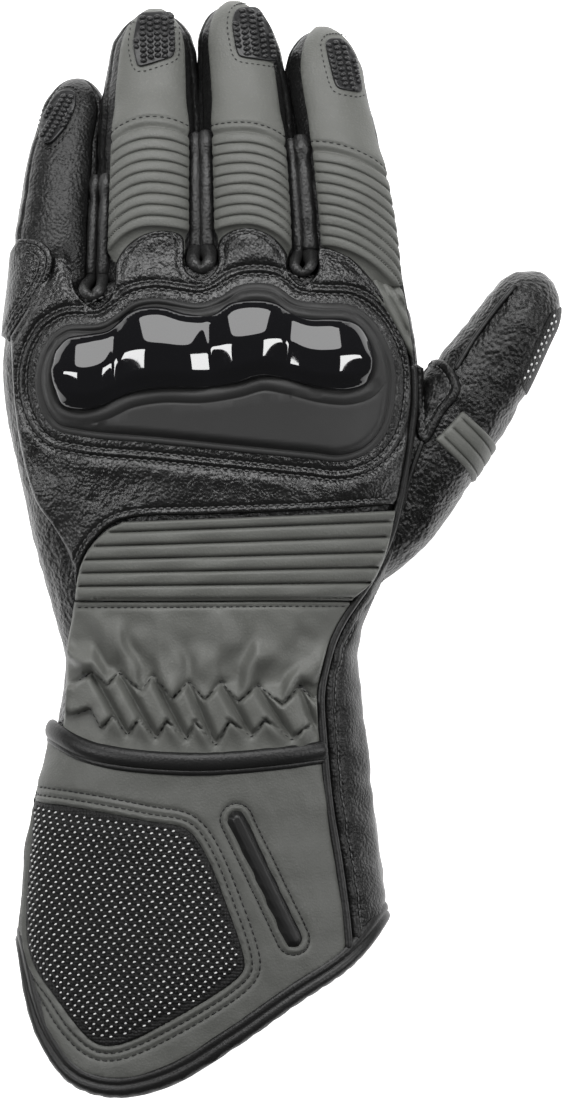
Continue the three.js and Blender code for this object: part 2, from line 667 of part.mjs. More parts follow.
// Elastic wrist: two rows of puckers, the lower between those of the upper
const CUFF_TOP = [
  { x: -70.0, y: -51.5 },
  { x: -65.4, y: -54.2 },
  { x: -57.9, y: -58.0 },
  { x: -46.8, y: -60.4 },
  { x: -24.8, y: -61.8 },
  { x: -2.5, y: -60.3 },
  { x: 12.0, y: -58.4 },
];
const gatherLow = besideCurve(CUFF_TOP, BINDING_RADIUS + SEAM + FLOOR_EASE);
const PUCKER_START = 0.25; // share of the way down where the folds begin
const PUCKER_FULL = 0.65; // and where they are highest
const PUCKER_SHIFT = 0.8; // and where they step over by half a pucker
const gatherRight = pairOf(besideSeam(-56, -SEAM_CLEAR - SEAM));
reliefPanel(
  "wrist_gather",
  "grey_leather",
  {
    top: [[-59, -15.6], [-30, -15.8], [0, -15.4], pairOf(besideSeam(-15.6, -SEAM_CLEAR - SEAM))],
    bottom: [[-61.4, -51.6], ...gatherLow.slice(2, -1).map(pairOf), gatherRight],
    left: [[-59, -15.6], [-60.6, -25], [-61.6, -38], [-61.4, -51.6]],
    right: [-15.6, -29, -42.5, -56].map((y) => pairOf(besideSeam(y, -SEAM_CLEAR - SEAM))),
  },
  {
    columns: 2 * GATHERS,
    rows: 5,
    lift: LAY,
    relief: (across, down) => {
      const depth = Math.min(Math.max((down - PUCKER_START) / (PUCKER_FULL - PUCKER_START), 0), 1);
      const pucker = Math.round(across * 2 * GATHERS) + (down > PUCKER_SHIFT ? 1 : 0);
      return LEATHER + (pucker % 2 ? depth * GATHER_RISE : 0);
    },
  },
);

// Gauntlet flap: from its bound top edge to the hem, from the side seam round the little finger's side
const FLAP_WRAP = degrees(190);
const FLAP_ROWS = 5;
const flapAngles = ringAngles(ARM_SIDES).filter((angle) => angle > degrees(60) && angle < FLAP_WRAP);
const flapColumns = [null, ...flapAngles, FLAP_WRAP];
const TOP_CLEAR = BINDING_RADIUS + SEAM;
const cuffTopLow = besideCurve(CUFF_TOP, -TOP_CLEAR);
function flapPoint(column, down, lift) {
  let angle = flapColumns[column];
  let along = -80;
  for (let i = 0; i < 8; i += 1) {
    const section = arm.at(along);
    const edge = (besideSeam(along, -SEAM_CLEAR).x - section.side) / (section.half_width + lift);
    if (flapColumns[column] === null) angle = arm.angleOf(edge);
    along = mix(meet(angle, cuffTopLow, lift), insideHem(angle, CUFF_INSET), down);
  }
  return arm.point(along, angle, lift);
}
const flapSpans = flapColumns.length - 1;
const flap = sheet(flapSpans, FLAP_ROWS, (across, down, layer) =>
  flapPoint(Math.round(across * flapSpans), down, LAY + layer * LEATHER),
);
addPiece("gauntlet_flap", "grey_leather", flap);

const bindingRight = arm.angleOf(0.67);
const armAxis = (p) => new THREE.Vector3(arm.at(p.y).side, p.y, arm.at(p.y).mid);
const TOP_BINDING_LOW = 1.9; // its half height, a little under its half width
const topBindingPath = steps(16, FLAP_WRAP, bindingRight).map((angle) =>
  arm.point(meet(angle, CUFF_TOP, BINDING_RADIUS), angle, LAY + BINDING_RADIUS),
);
const topBinding = roll(topBindingPath, BINDING_RADIUS, TOP_BINDING_LOW, 8, { axis: armAxis });
addPiece("gauntlet_top_binding", "binding_leather", topBinding);

// Binding round the whole mouth of the cuff
const HEM_SINK = 0.2; // its centre line lies a little under the sleeve's surface
const hemPath = ringAngles(40).map((angle) => {
  const p = arm.point(insideHem(angle, BINDING_RADIUS), angle, -HEM_SINK);
  return p.setZ(Math.max(p.z, BINDING_RADIUS));
});
const hemRoll = roll(hemPath, BINDING_RADIUS, BINDING_RADIUS, 7, { endless: true, axis: armAxis });
addPiece("hem_binding", "binding_leather", hemRoll);

// Studded mesh on the flap
const MESH_OUTLINE = [
  { x: -71.6, y: -72.4 },
  { x: -57.6, y: -75.4 },
  { x: -40.2, y: -78.6 },
  { x: -28.6, y: -80.9 },
  { x: -24.2, y: -85.5 },
  { x: -17.0, y: -101.5 },
  { x: -11.4, y: -119.4 },
  { x: -12.8, y: -123.2 },
  { x: -32.9, y: -136.3 },
  { x: -50.3, y: -143.5 },
  { x: -56.1, y: -142.1 },
  { x: -65.0, y: -130.5 },
  { x: -72.2, y: -114.5 },
  { x: -85.0, y: -104.0 },
  { x: -85.0, y: -80.0 },
];
cutPanel("gauntlet_mesh_patch", "studded_mesh", MESH_OUTLINE, ON_PANEL, MESH_THICK, 26);

const SLOT_BAR = { from: { x: -13.6, y: -79 }, to: { x: 2.2, y: -112.4 }, half_width: 2.7, half_height: 1.3 };
const barPath = steps(7).map((t) => {
  const x = mix(SLOT_BAR.from.x, SLOT_BAR.to.x, t);
  return onArm(x, mix(SLOT_BAR.from.y, SLOT_BAR.to.y, t), ON_PANEL + SLOT_BAR.half_height);
});
addPiece("gauntlet_slot_bar", "moulded_rubber", roll(barPath, SLOT_BAR.half_width, SLOT_BAR.half_height, 8));

// Hard guard over the knuckles: its far and near edges in plan
const GUARD_FAR = [
  { x: -67.0, y: 54.5 },
  { x: -61.0, y: 60.6 },
  { x: -50.4, y: 62.4 },
  { x: -44.0, y: 67.2 },
  { x: -37.0, y: 69.0 },
  { x: -28.0, y: 66.6 },
  { x: -20.8, y: 66.7 },
  { x: -15.0, y: 69.8 },
  { x: -8.4, y: 71.0 },
  { x: -1.0, y: 69.2 },
  { x: 7.1, y: 65.8 },
  { x: 15.0, y: 65.8 },
  { x: 21.5, y: 63.4 },
  { x: 25.0, y: 57.5 },
];
const GUARD_NEAR = [
  { x: -66.8, y: 43.0 },
  { x: -60.0, y: 39.6 },
  { x: -52.7, y: 40.8 },
  { x: -42.0, y: 45.0 },
  { x: -23.2, y: 45.6 },
  { x: -13.9, y: 47.3 },
  { x: -6.1, y: 49.0 },
  { x: 3.0, y: 47.8 },
  { x: 13.0, y: 45.4 },
  { x: 20.5, y: 45.9 },
  { x: 25.0, y: 51.0 },
];
// Bump over each knuckle: where it stands, how high and how wide
const KNUCKLES = [
  { x: -60, rise: 4.0, spread: 9 },
  { x: -37, rise: 5.4, spread: 10 },
  { x: -9, rise: 6.0, spread: 10 },
  { x: 15, rise: 4.8, spread: 9 },
];
const GUARD_EDGE = 1.0; // thickness at its edge
const GUARD_DOME = 4.2; // rise of its middle without the bumps

// Moulded rubber round the guard: a lip along the far edge and a wider field towards the wrist
const LIP = 3.2;
const FIELD_EDGE = [
  { x: 32.0, y: 50.0 },
  { x: 32.0, y: 41.0 },
  { x: 29.7, y: 33.6 },
  { x: 24.2, y: 27.5 },
  { x: 16.4, y: 24.8 },
  { x: 7.1, y: 25.4 },
  { x: -12.3, y: 27.3 },
  { x: -58.9, y: 32.0 },
  { x: -66.7, y: 34.5 },
  { x: -71.0, y: 41.3 },
  { x: -72.1, y: 49.1 },
];
const surround = [...besideCurve(GUARD_FAR, LIP), ...FIELD_EDGE];
cutPanel("knuckle_surround", "moulded_rubber", surround, ON_PANEL, SURROUND_THICK, 22);
reliefPanel(
  "knuckle_guard",
  "gloss_guard",
  {
    top: GUARD_FAR.map(pairOf),
    bottom: GUARD_NEAR.map(pairOf),
    left: [pairOf(GUARD_FAR[0]), [-68.0, 48.6], pairOf(GUARD_NEAR[0])],
    right: [pairOf(GUARD_FAR.at(-1)), [26.2, 54.2], pairOf(GUARD_NEAR.at(-1))],
  },
  {
    columns: 22,
    rows: 6,
    lift: ON_SURROUND,
    relief: (across, down, x) => {
      const dome = (1 - (2 * down - 1) ** 4) * (1 - (2 * across - 1) ** 10);
      const bumps = KNUCKLES.map((knuckle) => {
        const away = (x - knuckle.x) / knuckle.spread;
        return knuckle.rise * Math.exp(-(away ** 2));
      });
      return GUARD_EDGE + dome * bumps.reduce((sum, bump) => sum + bump, GUARD_DOME);
    },
  },
);

// Patch of leather on the little finger's side of the hand
const PINKY_SIDE_PATCH = [
  { x: -90.0, y: 83 },
  { x: -70.0, y: 84 },
  { x: -68.2, y: 80.6 },
  { x: -73.1, y: 71 },
  { x: -79.6, y: 61 },
  { x: -90.0, y: 61 },
];
cutPanel("pinky_side_patch", "black_leather", PINKY_SIDE_PATCH, LAY, LEATHER, 29.5);

// Patch on a finger or the thumb between two places along it. Its left and right edges are shares of the half
// width, at the high and the low end, or a wrap takes the right edge round the side, in degrees.
function formPatch(name, material, form, patch, { columns, rows, lift, relief }) {
  const geometry = sheet(columns, rows, (across, down, layer) => {
    const left = form.angleOf(mix(patch.left[0], patch.left[1], down));
    const along = mix(patch.high, patch.low, down) + patch.slant * (0.5 - across);
    const right = patch.wrap ? degrees(-patch.wrap) : form.angleOf(mix(patch.right[0], patch.right[1], down));
    return form.point(along, mix(left, right, across), lift + layer * relief(down));
  });
  addPiece(name, material, geometry);
}

// Studded grip pads on the fingertips
const TIP_PADS = {
  pinky: { left: [-0.93, -0.93], right: [-0.12, -0.12], low: 121.5, high: 132, slant: -4, lift: LAY },
  ring: { left: [-0.44, -0.44], right: [0.42, 0.42], low: 141.5, high: 152.2, slant: -1, lift: ON_PANEL },
  middle: { left: [-0.12, -0.12], right: [0.62, 0.62], low: 142.5, high: 154.4, slant: 1, lift: ON_PANEL },
  index: { left: [0.1, 0.1], right: [0.76, 0.76], low: 134.5, high: 146, slant: 1, lift: ON_PANEL },
};
for (const [name, pad] of Object.entries(TIP_PADS)) {
  const make = { columns: 4, rows: 4, lift: pad.lift, relief: () => PAD_THICK };
  formPatch(`${name}_tip_pad`, "studded_rubber", fingers[name], pad, make);
}

// Ribbed band, crotch patch and grip patch of the thumb
const THUMB_BAND = { left: [0.03, -0.12], wrap: 14, high: 50.2, low: 38.2, slant: 3.4 };
const THUMB_CROTCH = { left: [-0.96, -0.43], right: [-0.2, -0.32], high: 57.5, low: 39, slant: 5 };
const THUMB_GRIP = { left: [0.74, 0.74], wrap: 24, high: 90, low: 66.5, slant: 0 };
formPatch("thumb_rib_panel", "grey_leather", thumb, THUMB_BAND, {
  columns: 5,
  rows: 2 * THUMB_RIBS,
  lift: LAY,
  relief: (down) => LEATHER + (Math.round(down * 2 * THUMB_RIBS) % 2 ? RIB_RISE : 0),
});
formPatch("thumb_crotch_patch", "black_leather", thumb, THUMB_CROTCH, {
  columns: 4,
  rows: 4,
  lift: LAY,
  relief: () => LEATHER,
});
formPatch("thumb_perforated_patch", "studded_rubber", thumb, THUMB_GRIP, {
  columns: 4,
  rows: 5,
  lift: LAY,
  relief: () => MESH_THICK,
});

// Rolled seams between the fingers: down one finger, round the crotch and up the next
const ROLL_SHARE = 0.79; // of a finger's half width, where its roll lies
const ROLL_RADIUS = 1.3;
const rollLift = LAY + ROLL_RADIUS;
const ROLL_START = 9; // from the crotch to the straight part of a leg
for (const [name, crotch] of Object.entries(CROTCHES)) {
  const legPlaces = steps(4, crotch.top, crotch.y + ROLL_START);
  const leg = (form, share) => legPlaces.map((along) => form.point(along, form.angleOf(share), rollLift));
  const leftLeg = leg(fingers[crotch.left], ROLL_SHARE);
  const rightLeg = leg(fingers[crotch.right], -ROLL_SHARE);
  const around = [-1, 0, 1].map((turn) =>
    onArm(crotch.x + 2 * turn, crotch.y + 2.4 * turn ** 2, ON_PANEL + ROLL_RADIUS),
  );
  const path = new THREE.CatmullRomCurve3([...leftLeg, ...around, ...rightLeg.reverse()]).getSpacedPoints(20);
  addPiece(`${name}_fourchette_roll`, "black_leather", roll(path, ROLL_RADIUS, ROLL_RADIUS, 6));
}

export default glove;
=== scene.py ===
"""Winter motorcycle glove for the left hand: leather, padding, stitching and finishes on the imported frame.

Lengths in the tables are millimetres in the frame's own axes: fingers along +Y, thumb towards +X,
palm on z = 0. Meshes are made in metres.
"""

import bpy
import numpy as np
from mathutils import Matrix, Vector, geometry


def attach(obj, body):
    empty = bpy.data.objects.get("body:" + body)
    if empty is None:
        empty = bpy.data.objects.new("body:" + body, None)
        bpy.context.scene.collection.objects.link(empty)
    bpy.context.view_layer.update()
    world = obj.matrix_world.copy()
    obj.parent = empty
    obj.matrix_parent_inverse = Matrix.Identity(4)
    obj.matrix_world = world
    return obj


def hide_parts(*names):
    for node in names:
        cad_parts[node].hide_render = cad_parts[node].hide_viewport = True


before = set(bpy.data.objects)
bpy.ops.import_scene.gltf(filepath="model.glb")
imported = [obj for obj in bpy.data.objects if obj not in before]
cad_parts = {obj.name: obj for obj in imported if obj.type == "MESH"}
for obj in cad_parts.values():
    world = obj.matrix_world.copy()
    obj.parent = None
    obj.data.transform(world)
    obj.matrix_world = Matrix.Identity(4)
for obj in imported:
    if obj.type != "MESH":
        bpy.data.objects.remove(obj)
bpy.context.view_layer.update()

bl_info = {
    "name": "Winter motorcycle glove",
    "version": (1, 0, 0),
    "blender": (4, 5, 0),
    "location": "View3D > Sidebar > Glove",
    "description": "Builds a leather winter motorcycle glove piece by piece round its packed frame",
    "category": "Add Mesh",
}

MM = 0.001
BODY = "root"

# How curves and grids are worked out: points measured at a time, the step that corners are softened in and
# the height of an even triangle
BLOCK = 4000
FINE_STEP = 0.3
TRIANGLE_HEIGHT = 0.866

# Height of the panels over the forms, how thick they are, and how far stitches stand over black leather
SHELL_GAP = 0.1
PANEL_THICK = 1.5
RAISED = 0.25

# Forms: each row is along, side, mid, half width, half height
HAND_POWER = 2.4
FINGER_POWER = 2.2
ARM_ROWS = (
    (95, -22.6, 25.2, 55.2, 13.4), (82, -22.5, 24.6, 56.4, 16.2), (65, -21.8, 23.0, 59.0, 19.6),
    (50, -21.2, 22.0, 60.2, 20.9), (36, -20.8, 21.4, 59.2, 21.3), (8, -20.4, 21.0, 53.8, 21.6),
    (-8, -21.4, 20.6, 48.9, 21.0), (-22, -22.6, 20.0, 43.8, 20.3), (-34, -21.8, 19.6, 41.8, 19.8),
    (-57, -22.3, 19.6, 44.8, 19.8), (-74, -23.6, 20.0, 48.0, 20.4), (-106, -23.6, 21.4, 51.8, 22.0),
    (-122, -23.3, 22.0, 52.3, 22.6), (-165, -23.2, 22.4, 52.5, 23.0),
)
FINGER_ROWS = {
    "pinky": (
        136.9,
        12,
        (
            (66, -67.0, 22.0, 12.2, 13.0), (88, -66.4, 22.8, 12.0, 11.8), (103, -65.2, 19.6, 11.3, 11.2),
            (117, -63.6, 15.0, 10.3, 10.6), (125, -61.8, 12.0, 9.6, 10.2), (137, -60.4, 9.4, 9.2, 9.6),
        ),
    ),
    "ring": (
        156.0,
        13,
        (
            (66, -39.6, 24.0, 14.9, 14.6), (88, -39.1, 25.4, 14.8, 13.5), (103, -38.9, 24.0, 14.5, 12.8),
            (118, -38.7, 20.2, 14.2, 12.2), (133, -38.6, 15.0, 13.4, 11.5), (145, -38.2, 11.2, 12.4, 10.9),
            (157, -37.6, 9.8, 12.0, 10.4),
        ),
    ),
    "middle": (
        158.2,
        14,
        (
            (66, -9.4, 24.2, 14.2, 15.0), (88, -9.5, 25.8, 14.1, 13.8), (103, -10.0, 24.4, 13.8, 13.0),
            (118, -10.8, 20.6, 13.3, 12.4), (133, -12.0, 15.4, 12.6, 11.7), (145, -13.3, 11.4, 12.1, 11.1),
            (159, -15.0, 9.9, 12.0, 10.6),
        ),
    ),
    "index": (
        150.8,
        14,
        (
            (66, 20.4, 21.6, 14.4, 13.2), (88, 19.1, 23.2, 13.8, 12.9), (103, 17.4, 22.4, 13.1, 12.5),
            (118, 15.2, 18.9, 12.1, 12.1), (131, 12.6, 14.6, 11.6, 11.5), (140, 11.3, 11.4, 11.4, 11.0),
            (151, 10.4, 9.8, 11.0, 10.4),
        ),
    ),
}
THUMB_ROWS = (
    (-12, -6.5, 15.4, 8.6, 10.5), (-2, -3.6, 15.2, 10.6, 12.0), (13, -1.3, 15.0, 13.7, 13.0),
    (28, -0.8, 15.0, 14.2, 13.4), (45, 0.1, 14.9, 14.0, 13.3), (65, 0.9, 14.0, 13.3, 12.9),
    (82, 1.3, 12.8, 11.2, 12.0), (98, 0.6, 11.6, 10.6, 11.0),
)
THUMB_REACH = 97.6
THUMB_CAP = 13
THUMB_ROOT = (24.6, -3.6)
THUMB_HEADING = 59

# Plan curves
FINGER_LINE = ((-95, 67), (-60, 71), (-42, 78), (-24, 80), (7, 78.6), (24, 72), (50, 66))
HEM = (
    (-77.4, -101.5), (-75.8, -114.5), (-73.5, -131.9), (-69.7, -143.5), (-61.3, -154.6), (-48.9, -158.5),
    (-32.6, -155.0), (-13.5, -143.5), (2.8, -131.9), (17.8, -121.8), (24.6, -114.8), (28.6, -108.7),
)


def signed_power(value, power):
    return np.sign(value) * np.abs(value) ** power


def places_at(x, y):
    """Flat or plan places from their two measures."""
    return np.stack(np.broadcast_arrays(x, y), axis=-1)


class Form:
    """A row of upright oval sections, which may end in a rounded tip."""

    def __init__(self, rows, power, reach=None, cap=1.0, root=None, heading=90.0):
        table = np.array(sorted(rows), float)
        self.key, self.columns = table[:, 0], table[:, 1:]
        place = np.arange(len(table))
        low, high = np.maximum(place - 1, 0), np.minimum(place + 1, len(table) - 1)
        rise = self.columns[high] - self.columns[low]
        self.slopes = rise / (self.key[high] - self.key[low])[:, None]
        self.power = power
        self.cap = cap
        self.reach = reach
        self.cap_start = np.inf if reach is None else reach - cap
        self.root = root
        self.turn = np.radians(heading - 90.0)

    def section(self, along):
        """Side, mid, half width and half height at places along the form."""
        place = np.clip(along, self.key[0], self.key[-1])
        i = np.clip(np.searchsorted(self.key, place) - 1, 0, len(self.key) - 2)
        span = (self.key[i + 1] - self.key[i])[..., None]
        t = (place - self.key[i])[..., None] / span
        found = self.columns[i] * (2 * t**3 - 3 * t**2 + 1)
        found = found + self.slopes[i] * span * (t**3 - 2 * t**2 + t)
        found = found + self.columns[i + 1] * (3 * t**2 - 2 * t**3)
        found = found + self.slopes[i + 1] * span * (t**3 - t**2)
        return np.moveaxis(found, -1, 0)

    def point(self, along, angle, lift=0.0, lowest=0.0):
        """Places on the surface at sections, angles round them and heights above it."""
        along, angle, lift = np.broadcast_arrays(along, angle, lift)
        along = along.astype(float)
        side, mid, half_width, half_height = self.section(along)
        turn = np.clip((along - self.cap_start) / self.cap, 0.0, 1.0)
        tip = along > self.cap_start
        y = np.where(tip, np.where(tip, self.cap_start, 0.0) + (self.cap + lift) * turn, along)
        scale = np.sqrt(1.0 - turn**2)
        x = side + (half_width + lift) * scale * signed_power(np.cos(angle), 2 / self.power)
        z = mid + (half_height + lift) * scale * signed_power(np.sin(angle), 2 / self.power)
        z = np.maximum(z, lowest)
        if self.root is not None:
            cosine, sine = np.cos(self.turn), np.sin(self.turn)
            x, y = self.root[0] + x * cosine - y * sine, self.root[1] + x * sine + y * cosine
        return np.stack([x, y, z], axis=-1)

    def angle_of(self, share):
        """Angle round the upper half for shares of the half width, from -1 on the left to 1 on the right."""
        return np.arccos(signed_power(np.clip(share, -1.0, 1.0), self.power / 2))

    def inward(self, plan):
        """Side and along of plan places."""
        plan = np.asarray(plan, float)
        if self.root is None:
            return plan
        cosine, sine = np.cos(self.turn), np.sin(self.turn)
        x, y = plan[..., 0] - self.root[0], plan[..., 1] - self.root[1]
        return places_at(x * cosine + y * sine, -x * sine + y * cosine)


ARM = Form(ARM_ROWS, HAND_POWER)
FINGERS = {name: Form(rows, FINGER_POWER, reach, cap) for name, (reach, cap, rows) in FINGER_ROWS.items()}
THUMB = Form(THUMB_ROWS, FINGER_POWER, THUMB_REACH, THUMB_CAP, THUMB_ROOT, THUMB_HEADING)


class Surface:
    """What gives places on itself for flat ones."""

    STEP = 0.3

    def facing(self, flat, *lift):
        """Outward directions at flat places."""
        right, far = np.array([self.STEP, 0.0]), np.array([0.0, self.STEP])
        east = self.point(flat + right, *lift) - self.point(flat - right, *lift)
        north = self.point(flat + far, *lift) - self.point(flat - far, *lift)
        return unit(np.cross(east, north))


class Skin(Surface):
    """A form's surface laid flat near one section: across in millimetres from its top line, and along."""

    LOW_ANGLE, HIGH_ANGLE = -60.0, 240.0
    LAST_TURN = 0.97

    def __init__(self, form, at):
        self.form = form
        self.angles = np.radians(np.linspace(self.LOW_ANGLE, self.HIGH_ANGLE, 1201))
        ring = form.point(at, self.angles, lowest=-FAR)
        arc = np.concatenate([[0], np.cumsum(np.linalg.norm(np.diff(ring, axis=0), axis=1))])
        self.arc = arc - np.interp(np.pi / 2, self.angles, arc)

    def across(self, angle):
        return -np.interp(angle, self.angles, self.arc)

    def angle(self, across):
        return np.interp(-np.asarray(across), self.arc, self.angles)

    def flat(self, plan, lift=1.0):
        """Flat places for plan places on the upper side."""
        local = self.form.inward(plan)
        side, _, half_width, _ = self.form.section(local[..., 1])
        turn = np.clip((local[..., 1] - self.form.cap_start) / self.form.cap, 0.0, self.LAST_TURN)
        narrow = np.sqrt(1.0 - turn**2)
        angle = self.form.angle_of((local[..., 0] - side) / ((half_width + lift) * narrow))
        return places_at(self.across(angle), local[..., 1])

    def shares(self, rows):
        """Flat places for rows of share of the half width and along."""
        share, along = np.asarray(rows, float).T
        return places_at(self.across(self.form.angle_of(share)), along)

    def point(self, flat, lift):
        return self.form.point(flat[..., 1], self.angle(flat[..., 0]), lift)


def unit(vectors):
    return vectors / np.maximum(np.linalg.norm(vectors, axis=-1, keepdims=True), 1e-9)


def spline(points, step):
    """Smooth curve through points, with its places a step apart."""
    points = np.asarray(points, float)
    if len(points) == 2:
        count = max(int(np.linalg.norm(points[1] - points[0]) / step), 1)
        return points[0] + np.linspace(0, 1, count + 1)[:, None] * (points[1] - points[0])
    first, last = 2 * points[0] - points[1], 2 * points[-1] - points[-2]
    padded = np.vstack([first, points, last])
    gaps = np.sqrt(np.linalg.norm(np.diff(padded, axis=0), axis=1))
    knots = np.concatenate([[0], np.cumsum(np.maximum(gaps, 1e-6))])
    dense = []
    for i in range(1, len(padded) - 2):
        t = np.linspace(knots[i], knots[i + 1], 24, endpoint=False)[:, None]
        p, k = padded[i - 1 : i + 3], knots[i - 1 : i + 3]
        first = [between(k[j], k[j + 1], t, p[j], p[j + 1]) for j in range(3)]
        second = [between(k[j], k[j + 2], t, first[j], first[j + 1]) for j in range(2)]
        dense.append(between(k[1], k[2], t, *second))
    dense.append(padded[-2][None, :])
    return resample(np.vstack(dense), step)


def between(low, high, t, a, b):
    return ((high - t) * a + (t - low) * b) / (high - low)


def resample(points, step, closed=False):
    """The same curve with places an equal step apart."""
    points = np.asarray(points, float)
    if closed:
        points = np.vstack([points, points[:1]])
    along = np.concatenate([[0], np.cumsum(np.linalg.norm(np.diff(points, axis=0), axis=1))])
    count = max(int(round(along[-1] / step)), 2)
    places = np.linspace(0, along[-1], count + 1)
    found = np.stack([np.interp(places, along, column) for column in points.T], axis=-1)
    return found[:-1] if closed else found


def outline_of(*sides, step):
    """Closed outline through sides, with a corner where two of them meet."""
    return np.vstack([spline(side, step)[:-1] for side in sides])


def shifted(curve, away, closed=False):
    """A flat curve moved to its left, seen along it: inwards where it closes anticlockwise."""
    if closed:
        ahead = unit(np.roll(curve, -1, axis=0) - np.roll(curve, 1, axis=0))
    else:
        ahead = unit(np.gradient(curve, axis=0))
    return curve + away * places_at(-ahead[:, 1], ahead[:, 0])


def from_gap(row, closing=False):
    """A row, turned to start after its widest gap, where the one between its ends may count too."""
    steps = np.diff(np.vstack([row, row[:1]]) if closing else row, axis=0)
    return np.roll(row, -int(np.argmax(np.linalg.norm(steps, axis=1))) - 1, axis=0)


def anticlockwise(outline):
    x, y = outline.T
    area = np.sum(x * np.roll(y, -1) - np.roll(x, -1) * y)
    return outline if area > 0 else outline[::-1]


def distance_to(curve, points, closed=True):
    """Distance from points to a curve of straight steps, in as many axes as they have."""
    ends = np.roll(curve, -1, axis=0) if closed else curve[1:]
    starts = curve if closed else curve[:-1]
    span = ends - starts
    length = np.maximum(np.sum(span**2, axis=1), 1e-12)
    best = np.full(len(points), np.inf)
    for block in range(0, len(points), BLOCK):
        away = points[block : block + BLOCK, None, :] - starts[None]
        share = np.clip(np.sum(away * span, axis=2) / length, 0.0, 1.0)
        near = np.linalg.norm(away - share[..., None] * span, axis=2)
        best[block : block + BLOCK] = near.min(axis=1)
    return best


def inside(outline, points):
    """Which flat points lie inside a closed outline."""
    x, y = points.T
    found = np.zeros(len(points), bool)
    for (x0, y0), (x1, y1) in zip(outline, np.roll(outline, -1, axis=0)):
        if y0 == y1:
            continue
        crossing = (y0 > y) != (y1 > y)
        found ^= crossing & (x < x0 + (y - y0) * (x1 - x0) / (y1 - y0))
    return found


def well_inside(outline, points, margin):
    """Which flat points lie inside a closed outline by more than a margin."""
    return inside(outline, points) & (distance_to(outline, points) > margin)


def distance_out(outline, points):
    """Distance of flat points from a closed outline, below nothing inside it."""
    away = distance_to(outline, points)
    return np.where(inside(outline, points), -away, away)


def rounded_polygon(corners, softness):
    """Closed outline through straight sides whose corners are rounded off."""
    points = resample(corners, FINE_STEP, closed=True)
    for _ in range(int(2 * (softness / FINE_STEP) ** 2)):
        points = (np.roll(points, 1, axis=0) + 2 * points + np.roll(points, -1, axis=0)) / 4
    return anticlockwise(resample(points, 0.7, closed=True))


def closed_spline(corners, step):
    """Smooth closed curve through its corners."""
    return spline(np.vstack([corners, corners[:1]]), step)[:-1]


def rounded_outline(corners, step):
    """Closed anticlockwise outline that curves through its corners."""
    return anticlockwise(closed_spline(corners, step))


def hex_grid(outline, spacing):
    """Points of an even triangular grid over an outline's box."""
    low, high = outline.min(axis=0) - spacing, outline.max(axis=0) + spacing
    found = []
    for i, y in enumerate(np.arange(low[1], high[1], spacing * TRIANGLE_HEIGHT)):
        found.append(places_at(np.arange(low[0] + (i % 2) * spacing / 2, high[0], spacing), y))
    return np.vstack(found)


def waves(points, size, seed):
    """Gentle uneven waves about one high, with a typical size in millimetres."""
    count = 14
    dice = np.random.default_rng(seed)
    turns = unit(dice.normal(size=(count, points.shape[-1])))
    rates = 2 * np.pi / (size * dice.uniform(0.7, 1.5, count))
    starts = dice.uniform(0, 2 * np.pi, count)
    every = zip(turns, rates, starts)
    return sum(np.sin(points @ turn * rate + start) for turn, rate, start in every) / np.sqrt(count)


def rolled_edge(distance, width):
    """Height share of a rolled edge: a quarter round from nothing to full over a width."""
    share = 1 - np.clip(distance / width, 0.0, 1.0)
    return np.sqrt(np.maximum(1 - share**2, 0.0))


def dip(distance, width):
    """A soft channel's depth share at a distance from its middle."""
    return np.exp(-((distance / width) ** 2))


def smooth_step(value):
    t = np.clip(value, 0.0, 1.0)
    return t * t * (3 - 2 * t)


def add_object(name, points, faces):
    """Smooth mesh object from places in millimetres."""
    mesh = bpy.data.meshes.new(name)
    mesh.from_pydata((np.asarray(points) * MM).tolist(), [], [tuple(face) for face in faces])
    mesh.polygons.foreach_set("use_smooth", [True] * len(mesh.polygons))
    mesh.update()
    piece = bpy.data.objects.new(name, mesh)
    bpy.context.scene.collection.objects.link(piece)
    return piece


def only(piece):
    """Makes a piece the only selected and active one."""
    bpy.ops.object.select_all(action="DESELECT")
    piece.select_set(True)
    bpy.context.view_layer.objects.active = piece


def edited(piece, operator, **settings):
    """A piece after one mesh operator on all of it."""
    only(piece)
    bpy.ops.object.mode_set(mode="EDIT")
    bpy.ops.mesh.select_all(action="SELECT")
    operator(**settings)
    bpy.ops.object.mode_set(mode="OBJECT")
    return piece


def face_outwards(piece):
    return edited(piece, bpy.ops.mesh.normals_make_consistent, inside=False)


def apply_modifier(piece, kind, **settings):
    only(piece)
    modifier = piece.modifiers.new(kind.title(), kind)
    for name, value in settings.items():
        setattr(modifier, name, value)
    bpy.ops.object.modifier_apply(modifier=modifier.name)


def finish_piece(piece, finish, slot, *nodes, fill=None):
    """Gives a piece its finish and body, and hides the frame nodes that it stands for; slot and fill are not
    used.
    """
    piece.data.materials.clear()
    piece.data.materials.append(bpy.data.materials[finish])
    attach(piece, BODY)
    if nodes:
        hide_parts(*nodes)


class Channel:
    """A narrow valley along a curve, where a seam or a row of stitches draws a patch down."""

    SHARES = (-1.9, -1.1, -0.5, 0.0, 0.5, 1.1, 1.9)

    def __init__(self, curve, closed=False, depth=0.5, width=0.7):
        self.curve, self.closed, self.depth, self.width = curve, closed, depth, width

    def distance(self, flat):
        return distance_to(self.curve, flat, self.closed)

    def places(self):
        """Flat places along the valley and up both its sides."""
        rows = []
        for share in self.SHARES:
            away = share * self.width
            row = shifted(self.curve, away, self.closed)
            rows.append(row[self.distance(row) > 0.9 * abs(away) - 1e-6])
        return np.vstack(rows)


